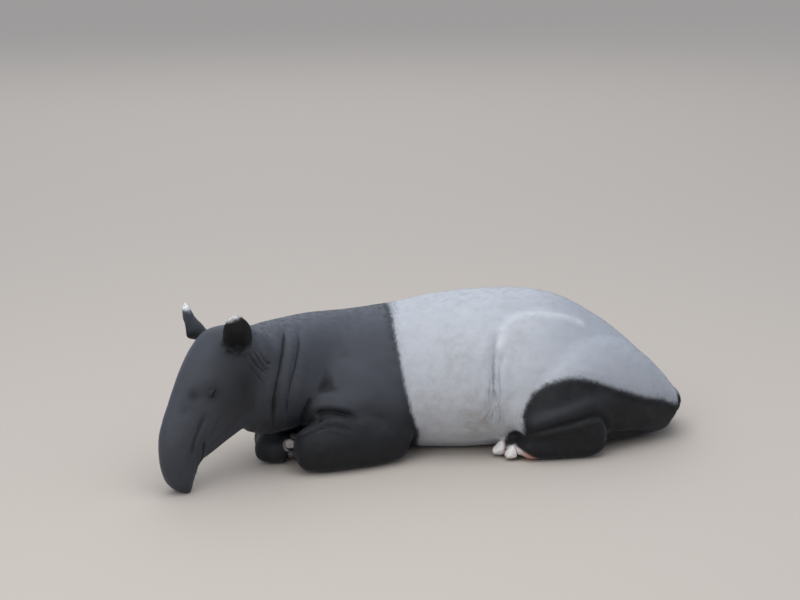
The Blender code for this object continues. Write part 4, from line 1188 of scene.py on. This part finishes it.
# The hooves: blunt horny caps on three toes behind and four in front, pale with pinkish streaks.
# Each is worn smooth, with faint growth rings, and is soiled at its edge.
hoof_voxel, hoof_half = 0.0015, 0.020
nail_ridge, growth_ring, growth_rings = 0.0016, 0.00020, 4.2
hoof_material, tree, horn = material_tree("hoof_horn")
where = place_on_object(tree)
clouds = noise(tree, where, 70, 4.0, 0.6)
grains = noise(tree, stretched(tree, where, (0.3, 1.0, 1.0)), 420, 3.0, 0.6)
smudges = noise(tree, where, 45, 5.0, 0.65)
soil = math_node(tree, "ADD", attribute(tree, "soil"), math_node(tree, "MULTIPLY_ADD", smudges, 0.6, -0.30))
colour = layered(
    tree, (0.58, 0.53, 0.50, 1),
    (smooth_range(tree, clouds, 0.30, 0.60), (0.74, 0.72, 0.69, 1)),
    (attribute(tree, "quick"), (0.52, 0.30, 0.26, 1)),
    (smooth_range(tree, grains, 0.50, 0.85, 0, 0.35), (0.34, 0.25, 0.21, 1)),
    (smooth_range(tree, soil, 0.30, 0.70), (0.035, 0.031, 0.030, 1)),
)
fed(tree, horn, {
    "Base Color": colour,
    "Roughness": smooth_range(tree, clouds, 0.3, 0.7, 0.42, 0.62),
    "Normal": bumped(tree, grains, 0.5, 0.0006),
})
pale_hooves = {"hoof_fore_right_2": 0.50, "hoof_fore_right_3": 0.66}
for name in hoof_nodes:
    shape = bmesh.new()
    shape.from_mesh(frame["nodes"][name].data)
    cap = built("cap_" + name, shape)
    melted(cap, hoof_voxel)
    eased(cap, np.full(len(cap.data.vertices), 0.5), 12)
    foot = name.rsplit("_", 1)[0].replace("hoof_", "").split("_")
    ahead = middle(name) - middle(f"{foot[0]}_foot_{foot[1]}")
    ahead = np.array(ahead) * np.array((1.0, 1.0, 0.0))
    ahead /= np.linalg.norm(ahead)
    low, high = (np.array(c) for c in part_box(name))
    points, normals = points_of(cap), normals_of(cap)
    centre = (low + high) / 2
    reach = (points - centre) @ ahead / hoof_half
    # The wall slopes down to a blunt edge, and bears shallow growth rings
    points[:, 2] = low[2] + (points[:, 2] - low[2]) * (1.08 - 0.40 * ramp(reach, -0.3, 1.1))
    # The nail is a little ridged along its middle and flat at its sides
    beside = (points - centre) @ np.array((-ahead[1], ahead[0], 0.0)) / hoof_half
    points[:, 2] += nail_ridge * np.exp(-(beside / 0.35) ** 2) * ramp(points[:, 2] - low[2], 0.004, 0.014)
    rings = np.sin(reach * 2 * math.pi * growth_rings + 0.4 * np.sin(points[:, 2] * 400))
    points += normals * (0.0010 + growth_ring * rings)[:, None]
    points[:, 2] = np.maximum(points[:, 2], low[2] + 0.0001)
    set_points(cap, points)
    edge = 0.35 * (1 - ramp(points[:, 2] - low[2], 0.002, 0.010))
    kept(cap, "soil", (0.10 if "hind" in name else pale_hooves.get(name, 0.80)) + edge)
    kept(cap, "quick", 0.75 * (1 - ramp(reach, -0.75, -0.15)))
    dressed(cap, hoof_material)
    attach(cap, "root")
    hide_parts(name)


# The floor is plain and pale, and the light is soft and even, as under a cloudy sky.
floor_half = 45
shape = bmesh.new()
bmesh.ops.create_grid(shape, x_segments=1, y_segments=1, size=floor_half)
floor = built("floor", shape)
floor_material, tree, ground = material_tree("floor")
fed(tree, ground, {"Base Color": (0.485, 0.43, 0.375, 1), "Roughness": 0.9})
floor.data.materials.append(floor_material)

world = bpy.data.worlds.new("sky")
bpy.context.scene.world = world
world.use_nodes = True
fed(world.node_tree, world.node_tree.nodes["Background"], {"Color": (0.82, 0.89, 1.0, 1), "Strength": 0.78})
for name, place, size, power, tint in (
    ("sky_light", (-0.4, -0.9, 4.5), 4.0, 104, (0.97, 0.98, 1.0)),
    ("back_light", (0.5, 6.5, 5.0), 6.0, 110, (0.97, 0.98, 1.0)),
    ("side_light", (-3.0, -4.0, 3.0), 2.5, 60, (1.0, 0.98, 0.95)),
):
    light = bpy.data.lights.new(name, "AREA")
    light.size = size
    light.energy = power
    light.color = tint
    lamp = bpy.data.objects.new(name, light)
    lamp.location = place
    lamp.rotation_euler = (Vector(place) - Vector((0, 0, 0.2))).to_track_quat("Z", "Y").to_euler()
    bpy.context.scene.collection.objects.link(lamp)
bpy.context.scene.view_settings.view_transform = "Standard"

bpy.context.view_layer.update()
